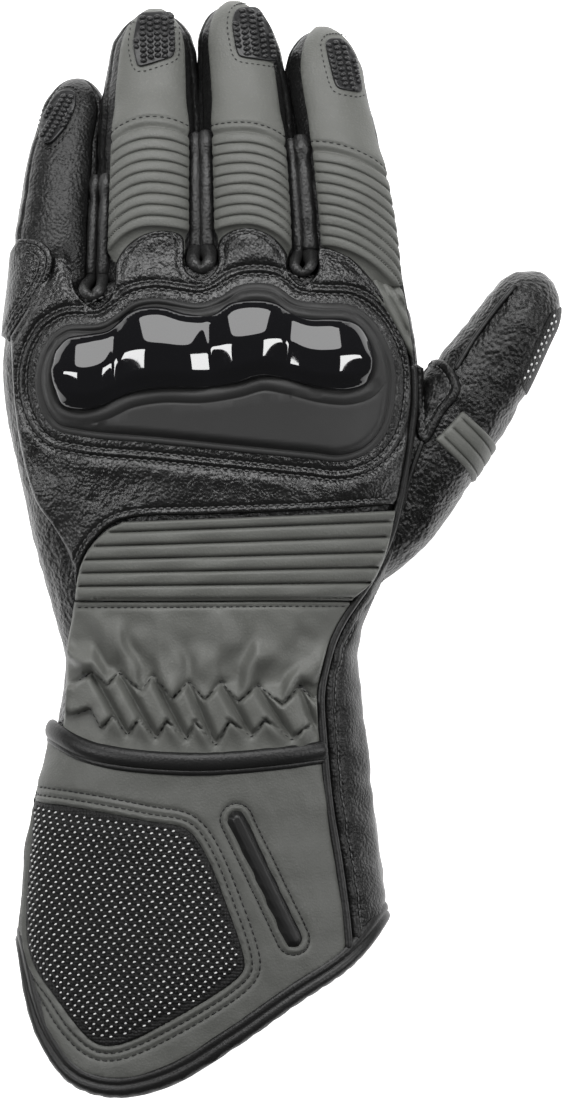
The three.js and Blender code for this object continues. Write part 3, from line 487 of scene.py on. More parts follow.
class Patch(Surface):
    """A piece of leather or rubber inside an outline on a skin, with a rolled edge and a relief."""

    RING_SHARES = (0.12, 0.45, 1.0)
    SINK = 0.7
    UNDER_SPACING = 7.0

    def __init__(self, skin, outline, lift, thick, edge, relief=None, ripple=0.0, seed=1, channels=()):
        self.skin, self.outline = skin, anticlockwise(outline)
        self.lift, self.thick, self.edge = lift, thick, edge
        self.relief, self.ripple, self.seed, self.channels = relief, ripple, seed, channels
        self.rim = skin.point(self.outline, lift)

    def height(self, flat):
        """Lift of the panel's upper side at flat places."""
        on_skin = self.skin.point(flat, self.lift)
        distance = distance_to(self.rim, on_skin)
        rise = np.full(len(flat), float(self.thick))
        if self.relief is not None:
            rise = rise + self.relief(flat, on_skin, distance)
        if self.ripple:
            rise = rise + self.ripple * waves(on_skin, 9.0, self.seed) * smooth_step(distance / 4.0)
        for channel in self.channels:
            rise = rise - channel.depth * dip(channel.distance(flat), channel.width)
        return self.lift + rise * rolled_edge(distance, self.edge)

    def point(self, flat, above=0.0):
        return self.skin.point(flat, self.height(flat) + above)

    def make(self, name, spacing=1.3, fill=None):
        """Closed mesh: the shaped upper side and a plain under side a little below the lift."""
        points = hex_grid(self.outline, spacing) if fill is None else fill
        for channel in self.channels:
            points = points[channel.distance(points) > 2.1 * channel.width + 0.2]
        points = np.vstack([points, *(channel.places() for channel in self.channels)])
        points = points[well_inside(self.outline, points, self.edge + 0.45 * spacing)]
        rings = []
        for share in self.RING_SHARES:
            ring = shifted(self.outline, self.edge * share, closed=True)
            rings.append(ring[well_inside(self.outline, ring, 0.8 * (share * self.edge))])
        top, top_faces = triangulate(self.outline, np.vstack([*rings, points]))
        points = hex_grid(self.outline, self.UNDER_SPACING)
        points = points[well_inside(self.outline, points, 0.5 * self.UNDER_SPACING)]
        low, low_faces = triangulate(self.outline, points)
        on_rim = distance_to(self.outline, low) < 1e-3
        under = self.skin.point(low, self.lift - np.where(on_rim, 0.0, self.SINK))
        faces = np.vstack([top_faces, low_faces[:, ::-1] + len(top)])
        piece = add_object(name, np.vstack([self.point(top), under]), faces.tolist())
        return edited(piece, bpy.ops.mesh.remove_doubles, threshold=0.004 * MM)


def triangulate(outline, points):
    """Triangles inside an outline through its own points and more inside it."""
    flat = np.vstack([outline, points])
    loop = [(i, (i + 1) % len(outline)) for i in range(len(outline))]
    found = geometry.delaunay_2d_cdt([Vector(p) for p in flat], loop, [], 1, 1e-5)
    return np.array([tuple(p) for p in found[0]]), np.array(found[2], int)


def ring_faces(rings, sides):
    """Quads between rings of points that follow each other."""
    i, j = np.meshgrid(np.arange(rings - 1), np.arange(sides), indexing="ij")
    here, there, k = i * sides, (i + 1) * sides, (j + 1) % sides
    return np.stack([here + j, here + k, there + k, there + j], axis=-1).reshape(-1, 4)


def loft_object(name, rings):
    """Closed mesh through rings of places, with flat faces over both ends."""
    rings = np.asarray(rings)
    count, sides = rings.shape[:2]
    faces = ring_faces(count, sides).tolist()
    last = (count - 1) * sides
    faces += [list(range(sides))[::-1], list(range(last, last + sides))]
    return face_outwards(add_object(name, rings.reshape(-1, 3), faces))


def ring_loop_object(name, rings):
    """Closed mesh through rings of places whose last ring meets the first."""
    rings = np.asarray(rings)
    count, sides = rings.shape[:2]
    faces = ring_faces(count + 1, sides) % (count * sides)
    return face_outwards(add_object(name, rings.reshape(-1, 3), faces.tolist()))


def along_row(points, closed=False):
    """Directions along a row of places."""
    ahead = np.roll(points, -1, axis=0) - np.roll(points, 1, axis=0)
    if not closed:
        ahead[0], ahead[-1] = points[1] - points[0], points[-1] - points[-2]
    return unit(ahead)


def tube(name, path, across, up, sides, outward=None):
    """Rolled leather along a path: oval rings with rounded ends."""
    ahead = along_row(path)
    if outward is None:
        outward = np.tile([0.0, 0.0, 1.0], (len(path), 1))
    side = unit(np.cross(ahead, outward))
    top = np.cross(side, ahead)
    turns = np.linspace(0, 2 * np.pi, sides, endpoint=False)[None, :, None]
    across, up = (np.broadcast_to(size, (len(path),))[:, None, None] for size in (across, up))
    rings = path[:, None] + side[:, None] * across * np.cos(turns) + top[:, None] * up * np.sin(turns)
    ends = []
    for end, way in ((0, -1), (-1, 1)):
        caps = []
        for turn in np.radians([30, 60, 85]):
            ring = path[end] + (rings[end] - path[end]) * np.cos(turn)
            caps.append(ring + ahead[end] * way * up[end] * np.sin(turn))
        ends.append(np.array(caps if way > 0 else caps[::-1]))
    return loft_object(name, np.concatenate([ends[0], rings, ends[1]]))


def bead(columns=6, rows=4):
    """Small closed oval about the origin, half a unit each way, with its long way on X."""
    turns = np.linspace(0, 2 * np.pi, columns, endpoint=False)
    heights = np.linspace(-np.pi / 2, np.pi / 2, rows + 1)[1:-1]
    rings = [[(np.sin(h), np.cos(h) * np.cos(t), np.cos(h) * np.sin(t)) for t in turns] for h in heights]
    points = [(-1.0, 0.0, 0.0)] + [p for ring in rings for p in ring] + [(1.0, 0.0, 0.0)]
    faces = (ring_faces(rows - 1, columns) + 1).tolist()
    last = 1 + (rows - 2) * columns
    for j in range(columns):
        k = (j + 1) % columns
        faces += [(0, 1 + k, 1 + j), (len(points) - 1, last + j, last + k)]
    return np.array(points) / 2, faces


def scatter(name, shape, places, ahead, up, sizes):
    """One object of copies of a small shape, each turned and sized at its own place."""
    base, faces = shape
    ahead = unit(ahead)
    side = unit(np.cross(up, ahead))
    top = np.cross(ahead, side)
    sizes = np.broadcast_to(sizes, (len(places), 3))
    points = places[:, None, :]
    for axis, way in enumerate((ahead, side, top)):
        points = points + base[None, :, axis, None] * sizes[:, None, axis, None] * way[:, None, :]
    count = len(base)
    every = [tuple(v + count * i for v in face) for i in range(len(places)) for face in faces]
    return face_outwards(add_object(name, points.reshape(-1, 3), every))


class StitchRows:
    """Rows of thread that lie in a panel's upper side, gathered into one piece."""

    def __init__(self, length, pitch, thick):
        self.length, self.pitch, self.thick = length, pitch, thick
        self.places, self.ahead, self.up = [], [], []

    def along(self, patch, flat, raised=0.1, closed=False, pitch=None):
        """Adds a row that follows a curve of flat places on a patch, raised over it by a little."""
        row = resample(flat, pitch or self.pitch, closed)
        self.add(patch.point(row, raised), patch.facing(row), closed)

    def add(self, places, up, closed=False):
        """Adds a row of stitches at its places."""
        self.places.append(places)
        self.ahead.append(along_row(places, closed))
        self.up.append(up)

    def make(self, name):
        sizes = (self.length, self.thick, self.thick * 0.85)
        groups = [np.vstack(group) for group in (self.places, self.ahead, self.up)]
        return scatter(name, bead(), *groups, sizes)


# Finishes


class Value:
    """A shader socket, so that maths on numbers is written as an expression."""

    def __init__(self, shader, socket):
        self.shader, self.socket = shader, socket

    def chain(self, operation, first, second):
        return self.shader.node("ShaderNodeMath", {"operation": operation}, {0: first, 1: second})

    def __add__(self, other):
        return self.chain("ADD", self, other)

    def __sub__(self, other):
        return self.chain("SUBTRACT", self, other)

    def __rsub__(self, other):
        return self.chain("SUBTRACT", other, self)

    def __mul__(self, other):
        return self.chain("MULTIPLY", self, other)

    __radd__ = __add__
    __rmul__ = __mul__


class Shader:
    """One finish: its material, and the nodes that make it."""

    def __init__(self, name):
        self.material = bpy.data.materials.new(name)
        self.material.use_nodes = True
        self.tree = self.material.node_tree
        self.tree.nodes.clear()
        self.place = self.node("ShaderNodeTexCoord", output="Object")

    def node(self, kind, settings=(), sockets=(), output=0):
        """Adds a node, sets it up, fills its sockets and gives one of its outputs, if it has any."""
        node = self.tree.nodes.new(kind)
        for name, value in dict(settings).items():
            setattr(node, name, value)
        for name, value in dict(sockets).items():
            if isinstance(value, Value):
                self.tree.links.new(value.socket, node.inputs[name])
            else:
                node.inputs[name].default_value = value
        return Value(self, node.outputs[output]) if node.outputs else None

    def noise(self, size, detail=2.0, roughness=0.5, output="Fac"):
        """Cloudy noise with a typical size in millimetres."""
        sockets = {"Vector": self.place, "Scale": 1 / (size * MM), "Detail": detail, "Roughness": roughness}
        return self.node("ShaderNodeTexNoise", {}, sockets, output)

    def cells(self, size, feature="F1", place=None, randomness=1.0):
        """Distance pattern of packed cells with a size in millimetres."""
        sockets = {"Vector": place or self.place, "Scale": 1 / (size * MM), "Randomness": randomness}
        return self.node("ShaderNodeTexVoronoi", {"feature": feature}, sockets, "Distance")

    def drift(self, size, amount):
        """Place, pushed about by noise so that patterns on it run unevenly."""
        sockets = {0: self.noise(size, output="Color"), 1: (amount * MM,) * 3, 2: self.place}
        return self.node("ShaderNodeVectorMath", {"operation": "MULTIPLY_ADD"}, sockets)

    def mix(self, share, first, second):
        """Colour between two colours."""
        return self.node("ShaderNodeMix", {"data_type": "RGBA"}, {0: share, 6: first, 7: second}, 2)

    def span(self, value, low, high, to_low=0.0, to_high=1.0):
        """A number moved from one range to another, and kept inside it."""
        sockets = {0: value, 1: low, 2: high, 3: to_low, 4: to_high}
        return self.node("ShaderNodeMapRange", {"clamp": True}, sockets)

    def bump(self, height, depth):
        """Normal for a relief of a depth in millimetres."""
        return self.node("ShaderNodeBump", {}, {"Height": height, "Distance": depth * MM, "Strength": 1.0})

    def surface(self, colour, roughness, normal=None, **constants):
        """Joins the finish to the material's output; the constants are named as the shader's sockets are."""
        sockets = {"Base Color": colour, "Roughness": roughness}
        sockets.update({name.replace("_", " "): value for name, value in constants.items()})
        if normal is not None:
            sockets["Normal"] = normal
        look = self.node("ShaderNodeBsdfPrincipled", {}, sockets)
        self.node("ShaderNodeOutputMaterial", {}, {"Surface": look})
        return self.material


def leather(name, base, worn, grain, depth, roughness, crease, shine):
    """Tanned leather: packed pebbles between creases, uneven tone and polish, paler where it is rubbed."""
    s = Shader(name)
    bent = s.drift(6.0, 1.6 * grain)
    pebble = 1 - s.cells(grain, "SMOOTH_F1", bent) * 1.5
    broad = 1 - s.cells(grain * 2.7, "F1", bent) * 1.1
    fine = s.noise(grain * 0.35, 3.0, 0.6)
    height = pebble * 0.55 + broad * crease + fine * 0.22
    patch = s.noise(22.0, 3.0, 0.55)
    rubbed = s.span(height + patch * 0.5, 0.75, 1.35)
    tone = s.mix(rubbed, base, worn)
    polish = s.span(fine * 0.5 + patch * 0.5, 0.3, 0.75, roughness + 0.1, roughness - 0.08)
    return s.surface(tone, polish, s.bump(height, depth), Specular_IOR_Level=shine)


def rubber(name, base, worn, roughness):
    """Moulded rubber: a fine even texture with faint marks."""
    s = Shader(name)
    fine = s.noise(0.5, 2.0, 0.6)
    patch = s.noise(16.0, 4.0, 0.6)
    tone = s.mix(s.span(patch, 0.4, 0.7), base, worn)
    polish = s.span(patch, 0.3, 0.7, roughness + 0.05, roughness - 0.05)
    return s.surface(tone, polish, s.bump(fine, 0.02), Specular_IOR_Level=0.4)


def gloss(name, base):
    """Polished black plastic with faint moulding waves and dust."""
    s = Shader(name)
    wave = s.noise(14.0, 1.0, 0.4)
    speck = s.noise(0.8, 3.0, 0.7)
    tone = s.mix(s.span(speck, 0.68, 0.85), base, (0.03, 0.03, 0.03, 1))
    polish = s.span(speck, 0.55, 0.8, 0.03, 0.1)
    coat = {"Coat_Weight": 0.25, "Coat_Roughness": 0.03}
    return s.surface(tone, polish, s.bump(wave, 0.008), Specular_IOR_Level=0.5, **coat)


def thread(name, base, worn):
    """Twisted sewing thread."""
    s = Shader(name)
    twist = s.noise(0.35, 2.0, 0.6)
    tone = s.mix(s.span(twist, 0.35, 0.7), base, worn)
    return s.surface(tone, s.span(twist, 0.3, 0.7, 0.5, 0.32), s.bump(twist, 0.05))


def knit(name, base, worn):
    """Knitted mesh: rows of raised loops with dark gaps."""
    s = Shader(name)
    loops = 1 - s.cells(0.95, "F1", randomness=0.35) * 1.5
    fine = s.noise(0.3, 2.0, 0.6)
    height = loops * 0.8 + fine * 0.2
    tone = s.mix(s.span(height, 0.3, 0.95), base, worn)
    return s.surface(tone, s.span(fine, 0.3, 0.7, 0.65, 0.5), s.bump(height, 0.35), Specular_IOR_Level=0.28)


def lining_cloth(name, base, worn):
    """Soft brushed lining."""
    s = Shader(name)
    pile = s.noise(0.6, 3.0, 0.7)
    tone = s.mix(s.span(pile, 0.35, 0.7), base, worn)
    return s.surface(tone, s.span(pile, 0.3, 0.7, 0.95, 0.8), s.bump(pile, 0.2))


# Places on the hand


def meet(angle, curve, lift=0.0):
    """Where lines of equal angle on the arm form meet a plan curve."""
    across, up = np.asarray(curve, float).T
    y = np.full(np.shape(angle), up[0])
    for _ in range(30):
        y = 0.5 * (y + np.interp(ARM.point(y, angle, lift)[..., 0], across, up))
    return y


FAR = 250.0
HEM_CURVE = spline(HEM, 1.0)
HEM_TURNS = np.radians(np.arange(0, 360, 1.5))
HEM_EDGE = ARM.point(meet(HEM_TURNS, HEM_CURVE), HEM_TURNS)


def inside_hem(angle, distance):
    """Place along the arm, at angles round it, that stays a distance inside the cuff's outer edge."""
    angle = np.atleast_1d(angle)
    here = ARM.point(meet(angle, HEM_CURVE), angle)
    apart = np.hypot(HEM_EDGE[None, :, 0] - here[:, None, 0], HEM_EDGE[None, :, 2] - here[:, None, 2])
    slack = np.sqrt(np.maximum(distance**2 - apart**2, 0.0))
    reach = np.where(apart < distance, HEM_EDGE[None, :, 1] + slack, -FAR).max(axis=1)
    return np.maximum(reach, meet(angle, HEM_CURVE))


# share of the half width that the side seam runs at, for places along the arm
SEAM_TABLE = np.array(
    (
        (-113, 0.786), (-90, 0.765), (-74, 0.743), (-57, 0.731), (-43, 0.74), (-30, 0.812), (-20, 0.879),
        (-10, 0.93), (0, 0.949), (13, 0.955), (50, 0.955), (66, 0.94),
    )
)
SEAM_LIFT = 2.15
SEAM_CURVE = spline(SEAM_TABLE * (1, 100), 1.0) / (1, 100)


def seam_x(y, away=0.0):
    """Plan place of the side seam, or of what runs beside it."""
    side, _, half_width, _ = ARM.section(np.asarray(y, float))
    return side + np.interp(y, *SEAM_CURVE.T) * (half_width + SEAM_LIFT) + away


class Plan(Surface):
    """The upper side of several forms as one soft surface over plan places."""

    BLEND = 1.6
    CEILING = 40.0
    FALL = 40.0
    DROOP_FROM, DROOP_REACH = 70.0, 25.0
    SLOPE_STEP = 0.2
    STEEPEST = 2.2

    def __init__(self, forms, droop=0.0):
        self.forms, self.droop = forms, droop

    def level(self, plan):
        x, y = plan[..., 0], plan[..., 1]
        total = 0.0
        for number, form in enumerate(self.forms):
            side, mid, half_width, half_height = form.section(y)
            share = np.abs((x - side) / half_width)
            crown = np.maximum(1 - np.minimum(share, 1.0) ** form.power, 0.0) ** (1 / form.power)
            z = mid + half_height * crown - self.FALL * np.maximum(share - 1.0, 0.0)
            if number == 0:
                z = z - self.droop * np.maximum((y - self.DROOP_FROM) / self.DROOP_REACH, 0.0) ** 2
            total = total + np.exp(self.BLEND * (z - self.CEILING))
        return self.CEILING + np.log(total) / self.BLEND

    def slope(self, plan, step):
        return (self.level(plan + step) - self.level(plan - step)) / (2 * self.SLOPE_STEP)

    def point(self, plan, lift):
        slope_x, slope_y = self.slope(plan, (self.SLOPE_STEP, 0.0)), self.slope(plan, (0.0, self.SLOPE_STEP))
        steep = np.minimum(np.sqrt(1 + slope_x**2 + slope_y**2), self.STEEPEST)
        return np.concatenate([plan, (self.level(plan) + lift * steep)[..., None]], axis=-1)


BACK = Plan([ARM, *FINGERS.values()], droop=6.0)
ARM_TOP = Plan([ARM])
CUFF = Skin(ARM, -100)
CUFF_LOW_TURN = np.radians(190.0)


def seam_places(high, low, away=0.0):
    """Plan places down the side seam, or beside it."""
    y = np.arange(high, low, -1.0)
    return places_at(seam_x(y, away), y)


# Outlines and tables of the pieces

HAND_BACK_EDGE = (
    (-79.4, 61.0), (-73.4, 70.8), (-69.0, 80.4), (-68.0, 87.0), (-62.6, 85.0), (-60.2, 74.0), (-54.3, 69.0),
    (-49.4, 74.0), (-48.4, 82.6), (-44.0, 88.4), (-36.0, 91.6), (-29.6, 90.0), (-28.6, 80.5), (-24.0, 77.0),
    (-19.6, 80.5), (-18.6, 89.0), (-11.5, 92.4), (-4.0, 90.2), (0.6, 85.0), (1.2, 79.5), (5.0, 75.6),
    (9.4, 79.5), (10.2, 86.6), (18.0, 84.4), (25.0, 77.6), (31.0, 69.0), (34.6, 62.0),
)
WRIST_LINE = (
    (31.6, 12.4), (10.0, 10.8), (-20.0, 9.6), (-44.0, 8.6), (-50.0, 6.6), (-55.4, 1.6), (-58.4, -3.6),
    (-60.2, -12.0),
)
LITTLE_FINGER_SEAM = (
    (-60.2, -12.0), (-62.0, -2.6), (-66.4, 5.6), (-71.6, 13.0), (-75.2, 24.0), (-77.8, 38.0), (-79.4, 61.0),
)
SURROUND_OUTLINE = (
    (-67.5, 61.5), (-62.8, 64.2), (-53.5, 64.6), (-48.8, 67.0), (-43.4, 70.8), (-37.2, 72.0), (-30.9, 71.2),
    (-24.7, 70.5), (-18.5, 72.4), (-13.9, 75.3), (-8.4, 76.3), (-2.2, 75.3), (3.2, 71.6), (11.0, 70.5),
    (18.8, 70.1), (24.2, 67.0), (28.9, 60.7), (32.0, 52.2), (32.0, 42.9), (29.7, 33.6), (24.2, 27.3),
    (16.4, 24.6), (7.1, 25.4), (-12.3, 27.3), (-35.6, 29.7), (-58.9, 32.0), (-66.7, 34.3), (-71.0, 41.3),
    (-72.1, 49.1), (-70.6, 56.1),
)
GUARD_OUTLINE = (
    (-66.3, 56.9), (-62.8, 60.4), (-56.6, 61.5), (-50.4, 62.7), (-45.7, 67.0), (-41.8, 68.9), (-35.6, 69.3),
    (-27.8, 67.3), (-20.8, 67.3), (-15.4, 70.5), (-8.4, 71.5), (-2.2, 70.5), (1.7, 68.1), (7.1, 66.2),
    (14.9, 66.2), (21.1, 64.6), (24.6, 60.0), (25.8, 53.7), (24.2, 47.5), (18.8, 45.2), (11.0, 45.6),
    (1.7, 47.9), (-6.1, 49.1), (-13.9, 47.1), (-23.2, 45.6), (-35.6, 45.6), (-44.9, 44.0), (-52.7, 40.5),
    (-58.9, 39.4), (-64.3, 40.9), (-66.7, 46.0), (-67.5, 52.2),
)
# x of the valleys between the guard's four swellings, at its upper and at its lower edge
GUARD_VALLEYS = ((-70.5, -69.0), (-48.8, -49.4), (-22.6, -20.4), (2.6, 0.2), (29.5, 27.5))

# left and right edges as shares of the half width, highest place of the arcs across, first and last groove,
# how far the left ends of those two drop back, and the right ends
FINGER_BACKS = {
    "ring": (-0.72, 0.7, 0.52, 121.5, 92.5, (5, 8), (3, 1.5)),
    "middle": (-0.68, 0.73, 0.42, 120.0, 93.0, (1, 2), (4.5, 7.5)),
    "index": (-0.56, 0.88, 0.04, 114.5, 87.0, (0, 0), (8.5, 17)),
}
RIBS = 9
TIP_PADS = {
    "ring": ((-42.6, 153.8), (-32.2, 154.2), (-31.9, 142.4), (-42.6, 138.9), (-44.0, 146.0)),
    "middle": ((-14.6, 155.2), (-8.0, 155.8), (-3.8, 149.6), (-2.2, 140.8), (-13.6, 142.2), (-15.4, 150.8)),
    "index": ((11.6, 146.6), (16.8, 146.8), (20.6, 142.0), (22.6, 131.8), (14.8, 132.9), (12.2, 142.6)),
    "pinky": (
        (-72.4, 118.4), (-70.6, 126.8), (-66.0, 132.6), (-60.8, 132.8), (-60.2, 128.4), (-62.8, 122.8),
        (-68.4, 116.6),
    ),
}
# which way the rows of studs run on each pad
STUD_WAYS = {"ring": (-0.03, 1.0), "middle": (-0.14, 1.0), "index": (-0.24, 1.0), "pinky": (0.5, 0.85)}
# fingers on both sides, x and lower end of the gap, upper end of the roll, shares of the half width at which
# it lies on the two fingers, and how thick it is on each
FINGER_GAPS = {
    "pinky_ring": ("pinky", "ring", -55.6, 71.3, 106.5, 0.84, -0.84, 0.9, 0.95),
    "ring_middle": ("ring", "middle", -24.0, 79.4, 118.5, 0.85, -0.85, 1.1, 1.25),
    "middle_index": ("middle", "index", 5.2, 78.2, 117.0, 0.88, -0.81, 0.85, 1.4),
}

# upper and lower corners of the elastic's zigzag stitching
UPPER_ZIGZAG = (
    (-60.6, -39.0), (-55.4, -36.0), (-51.3, -39.5), (-47.8, -36.0), (-41.2, -41.1), (-37.8, -36.7),
    (-32.4, -43.3), (-27.7, -38.6), (-23.0, -43.6), (-18.3, -38.6), (-13.3, -44.2), (-7.9, -39.5),
    (-0.7, -44.9), (4.4, -40.1), (8.4, -43.9),
)
LOWER_ZIGZAG = (
    (-61.2, -48.6), (-56.0, -46.7), (-52.9, -52.4), (-49.4, -48.6), (-45.3, -54.3), (-41.9, -49.6),
    (-37.1, -55.2), (-34.0, -50.2), (-28.3, -55.5), (-25.8, -50.5), (-19.9, -57.1), (-15.8, -50.2),
    (-9.5, -54.6), (-5.7, -49.9), (2.1, -55.4), (7.8, -51.1), (9.4, -53.0),
)
ACCORDION_TOP = ((-46.8, 7.4), (-20.0, 8.4), (10.0, 9.6), (32.0, 10.7))
ACCORDION_LOW = ((-60.2, -15.4), (-30.0, -15.5), (0.0, -15.3), (19.6, -15.4))
CUFF_TOP = (
    (-70.0, -51.5), (-65.4, -54.2), (-57.9, -58.0), (-46.8, -60.4), (-24.8, -61.8), (-2.5, -60.3),
    (12.0, -58.4),
)
MESH_OUTLINE = (
    (-73.4, -73.4), (-57.6, -75.4), (-40.2, -78.6), (-28.6, -80.9), (-24.2, -85.5), (-17.0, -101.5),
    (-11.2, -120.3), (-12.6, -123.2), (-32.9, -136.3), (-50.3, -143.5), (-56.1, -142.1), (-66.3, -130.5),
    (-74.6, -117.0),
)
SLOT_BAR = ((-13.9, -78.4), (2.4, -112.6))

SURROUND = rounded_outline(SURROUND_OUTLINE, 0.8)
GUARD = rounded_outline(GUARD_OUTLINE, 0.8)
CUFF_TOP_CURVE = spline(CUFF_TOP, 1.0)


# Sizes and colours that may be changed


def length(label, meaning, millimetres):
    return bpy.props.FloatProperty(
        name=label, description=meaning, default=millimetres * MM, min=0.0, precision=5, unit="LENGTH"
    )


def tint(label, meaning, default):
    return bpy.props.FloatVectorProperty(
        name=label, description=meaning, default=default, size=3, min=0.0, max=1.0, subtype="COLOR"
    )


class GloveSizes(bpy.types.PropertyGroup):
    """Lengths of the glove's sewing and padding"""

    stitch_length: length("Stitch length", "How long each visible stitch is", 1.7)
    stitch_pitch: length("Stitch pitch", "From one stitch to the next", 2.1)
    stitch_thick: length("Thread thickness", "How thick the sewing thread is", 0.5)
    finger_rib: length("Finger rib height", "How far the fingers' padded ribs stand up", 1.3)
    wrist_rib: length("Wrist rib height", "How far the wrist's padded rolls stand up", 2.5)
    fold: length("Wrist fold depth", "How deep the elastic draws the wrist's folds", 1.7)
    roll: length("Finger roll radius", "Radius of the rolled seams between the fingers", 1.9)
    dot_pitch: length("Dot pitch", "From one bright dot of the mesh to the next", 2.45)
    padding: length("Knuckle padding", "How far the knuckle pad rises over its flange", 2.2)


class GloveColours(bpy.types.PropertyGroup):
    """Colours of the glove's leathers, rubber, plastic and thread"""

    black_leather: tint("Black leather", "Pebbled leather of the hand", (0.009, 0.009, 0.009))
    grey_leather: tint("Grey leather", "Smooth leather of the ribs and the cuff", (0.136, 0.139, 0.128))
    binding: tint("Binding", "Rolled edges and piping", (0.009, 0.009, 0.009))
    rubber: tint("Moulded rubber", "Knuckle pad and slot", (0.021, 0.021, 0.021))
    studs: tint("Studded rubber", "Fingertip pads", (0.022, 0.022, 0.023))
    guard: tint("Guard", "Polished knuckle guard", (0.004, 0.004, 0.005))
    mesh: tint("Mesh", "Knitted patch of the cuff", (0.009, 0.009, 0.009))
    # Besides the stitches, this colour makes the dark cords in the wrist's grooves, which are painted shade
    thread: tint("Thread", "Stitches and cords of thread", (0.004, 0.004, 0.004))
    # The dots' white stands for painted highlights on the small rubber bumps of the knit and of the thumb's
    # grip
    dots: tint("Dots", "Bright dots of the mesh", (0.75, 0.75, 0.75))
    lining: tint("Lining", "Cloth inside the cuff", (0.02, 0.02, 0.022))
    floor: tint("Floor", "Studio floor and backdrop", (0.88, 0.88, 0.88))


def size(name):
    """A size in millimetres."""
    return getattr(bpy.context.scene.glove_sizes, name) / MM


def colour(name, level=1.0):
    """A colour, made lighter or darker."""
    return tuple(min(part * level, 1.0) for part in getattr(bpy.context.scene.glove_colours, name)) + (1.0,)


def stitches(length_share=1.0, thick_share=1.0):
    """An empty set of stitch rows in the glove's thread."""
    length, thick = size("stitch_length") * length_share, size("stitch_thick") * thick_share
    return StitchRows(length, size("stitch_pitch"), thick)


# colour, its levels in the grain and where it is rubbed, size of the grain, depth of its relief, roughness,
# share of the creases and shine
LEATHERS = {
    "pebbled_black_leather": ("black_leather", 0.7, 1.9, 0.85, 0.34, 0.27, 0.14, 0.62),
    "soft_black_leather": ("black_leather", 0.6, 1.5, 0.8, 0.26, 0.32, 0.2, 0.34),
    "creased_black_leather": ("black_leather", 0.35, 1.8, 1.1, 0.5, 0.27, 0.2, 0.4),
    "smooth_grey_leather": ("grey_leather", 0.8, 1.12, 0.6, 0.09, 0.5, 0.2, 0.45),
    # The cuff's grey leather is the same grey leather made darker: painted shade where the light falls off
    # towards the cuff
    "cuff_grey_leather": ("grey_leather", 0.62, 0.9, 0.6, 0.09, 0.5, 0.2, 0.45),
    "rolled_leather": ("binding", 0.8, 1.8, 0.6, 0.08, 0.38, 0.2, 0.38),
    # The finger rolls' leather is the binding leather made lighter: painted light on the raised rolls between
    # the fingers
    "finger_roll_leather": ("binding", 1.2, 2.8, 0.7, 0.2, 0.4, 0.2, 0.55),
}
# how each other finish is made, its colour, that colour's two levels, and a rubber's roughness
OTHER_FINISHES = {
    "matt_rubber": (rubber, "rubber", 1.0, 1.12, 0.55),
    "slot_rubber": (rubber, "binding", 0.6, 1.0, 0.42),
    "braided_rubber": (rubber, "studs", 0.55, 1.0, 0.33),
    # These dots are white beads: painted highlights on the rubber bumps of the knit and of the thumb's grip
    "bright_dots": (rubber, "dots", 1.0, 0.8, 0.22),
    "knitted_mesh": (knit, "mesh", 0.7, 1.8),
    "black_thread": (thread, "thread", 1.0, 2.5),
    # This thread is the black thread made ten to twenty-four times lighter: painted highlights on the
    # stitches over black leather
    "waxed_thread": (thread, "thread", 10.0, 24.0),
    "lining_pile": (lining_cloth, "lining", 1.0, 1.8),
}


class GLOVE_OT_finishes(bpy.types.Operator):
    """Makes the leather, rubber, plastic, knit and thread finishes"""

    bl_idname = "glove.finishes"
    bl_label = "Finishes"

    def execute(self, context):
        for name, (tone, first, second, *look) in LEATHERS.items():
            leather(name, colour(tone, first), colour(tone, second), *look)
        for name, (make, tone, first, second, *look) in OTHER_FINISHES.items():
            make(name, colour(tone, first), colour(tone, second), *look)
        gloss("polished_plastic", colour("guard"))
        return {"FINISHED"}


# Hand and fingers

RING = np.radians(np.arange(0, 360, 3))
WALL = 2.6
PAST_HEM = 12.0
FINGER_DOME = 7.0


def arm_angles(points):
    """Angles round the arm form of places near its surface."""
    side, mid, half_width, half_height = ARM.section(points[:, 1])
    across = signed_power((points[:, 0] - side) / half_width, ARM.power / 2)
    up = signed_power((points[:, 2] - mid) / half_height, ARM.power / 2)
    return np.arctan2(up, across)


def tip_rows(form, start, step):
    """Places along a form that ends in a rounded tip, close together over the tip."""
    rounded = form.cap_start + form.cap * np.sin(np.radians(np.linspace(0, 87, 18)))
    return np.concatenate([np.arange(start, form.cap_start, step), rounded])


def joined(name, *parts):
    """One object of several."""
    bpy.ops.object.select_all(action="DESELECT")
    for part in parts:
        part.select_set(True)
    bpy.context.view_layer.objects.active = parts[0]
    bpy.ops.object.join()
    parts[0].name = name
    return parts[0]


def move_along_normals(piece, heights):
    """Moves each corner of a mesh along its normal, in millimetres."""
    moved = read_corners(piece, "co") + read_corners(piece, "normal") * heights[:, None] * MM
    moved[:, 2] = np.maximum(moved[:, 2], 0.0)
    piece.data.vertices.foreach_set("co", moved.ravel())
    piece.data.update()


def read_corners(piece, what):
    """A row of three numbers for each corner of a mesh."""
    found = np.empty(len(piece.data.vertices) * 3)
    piece.data.vertices.foreach_get(what, found)
    return found.reshape(-1, 3)


def palm_rings():
    """Rings of the hand and cuff, past the hem at one end and domed between the fingers at the other."""
    start, end = meet(RING, HEM) - PAST_HEM, meet(RING, FINGER_LINE)
    shares = np.linspace(0, 1, 150)[:, None]
    rings = ARM.point(start + (end - start) * shares, RING)
    side, mid, _, _ = ARM.section(end)
    centre = np.stack([side, end, mid], axis=-1)
    dome = []
    for turn in np.radians([18, 36, 54, 70, 84]):
        ring = centre + (rings[-1] - centre) * np.cos(turn)
        ring[:, 1] = (end - end.mean()) * np.cos(turn) + end.mean() + FINGER_DOME * np.sin(turn)
        dome.append(ring)
    return np.concatenate([rings, dome])


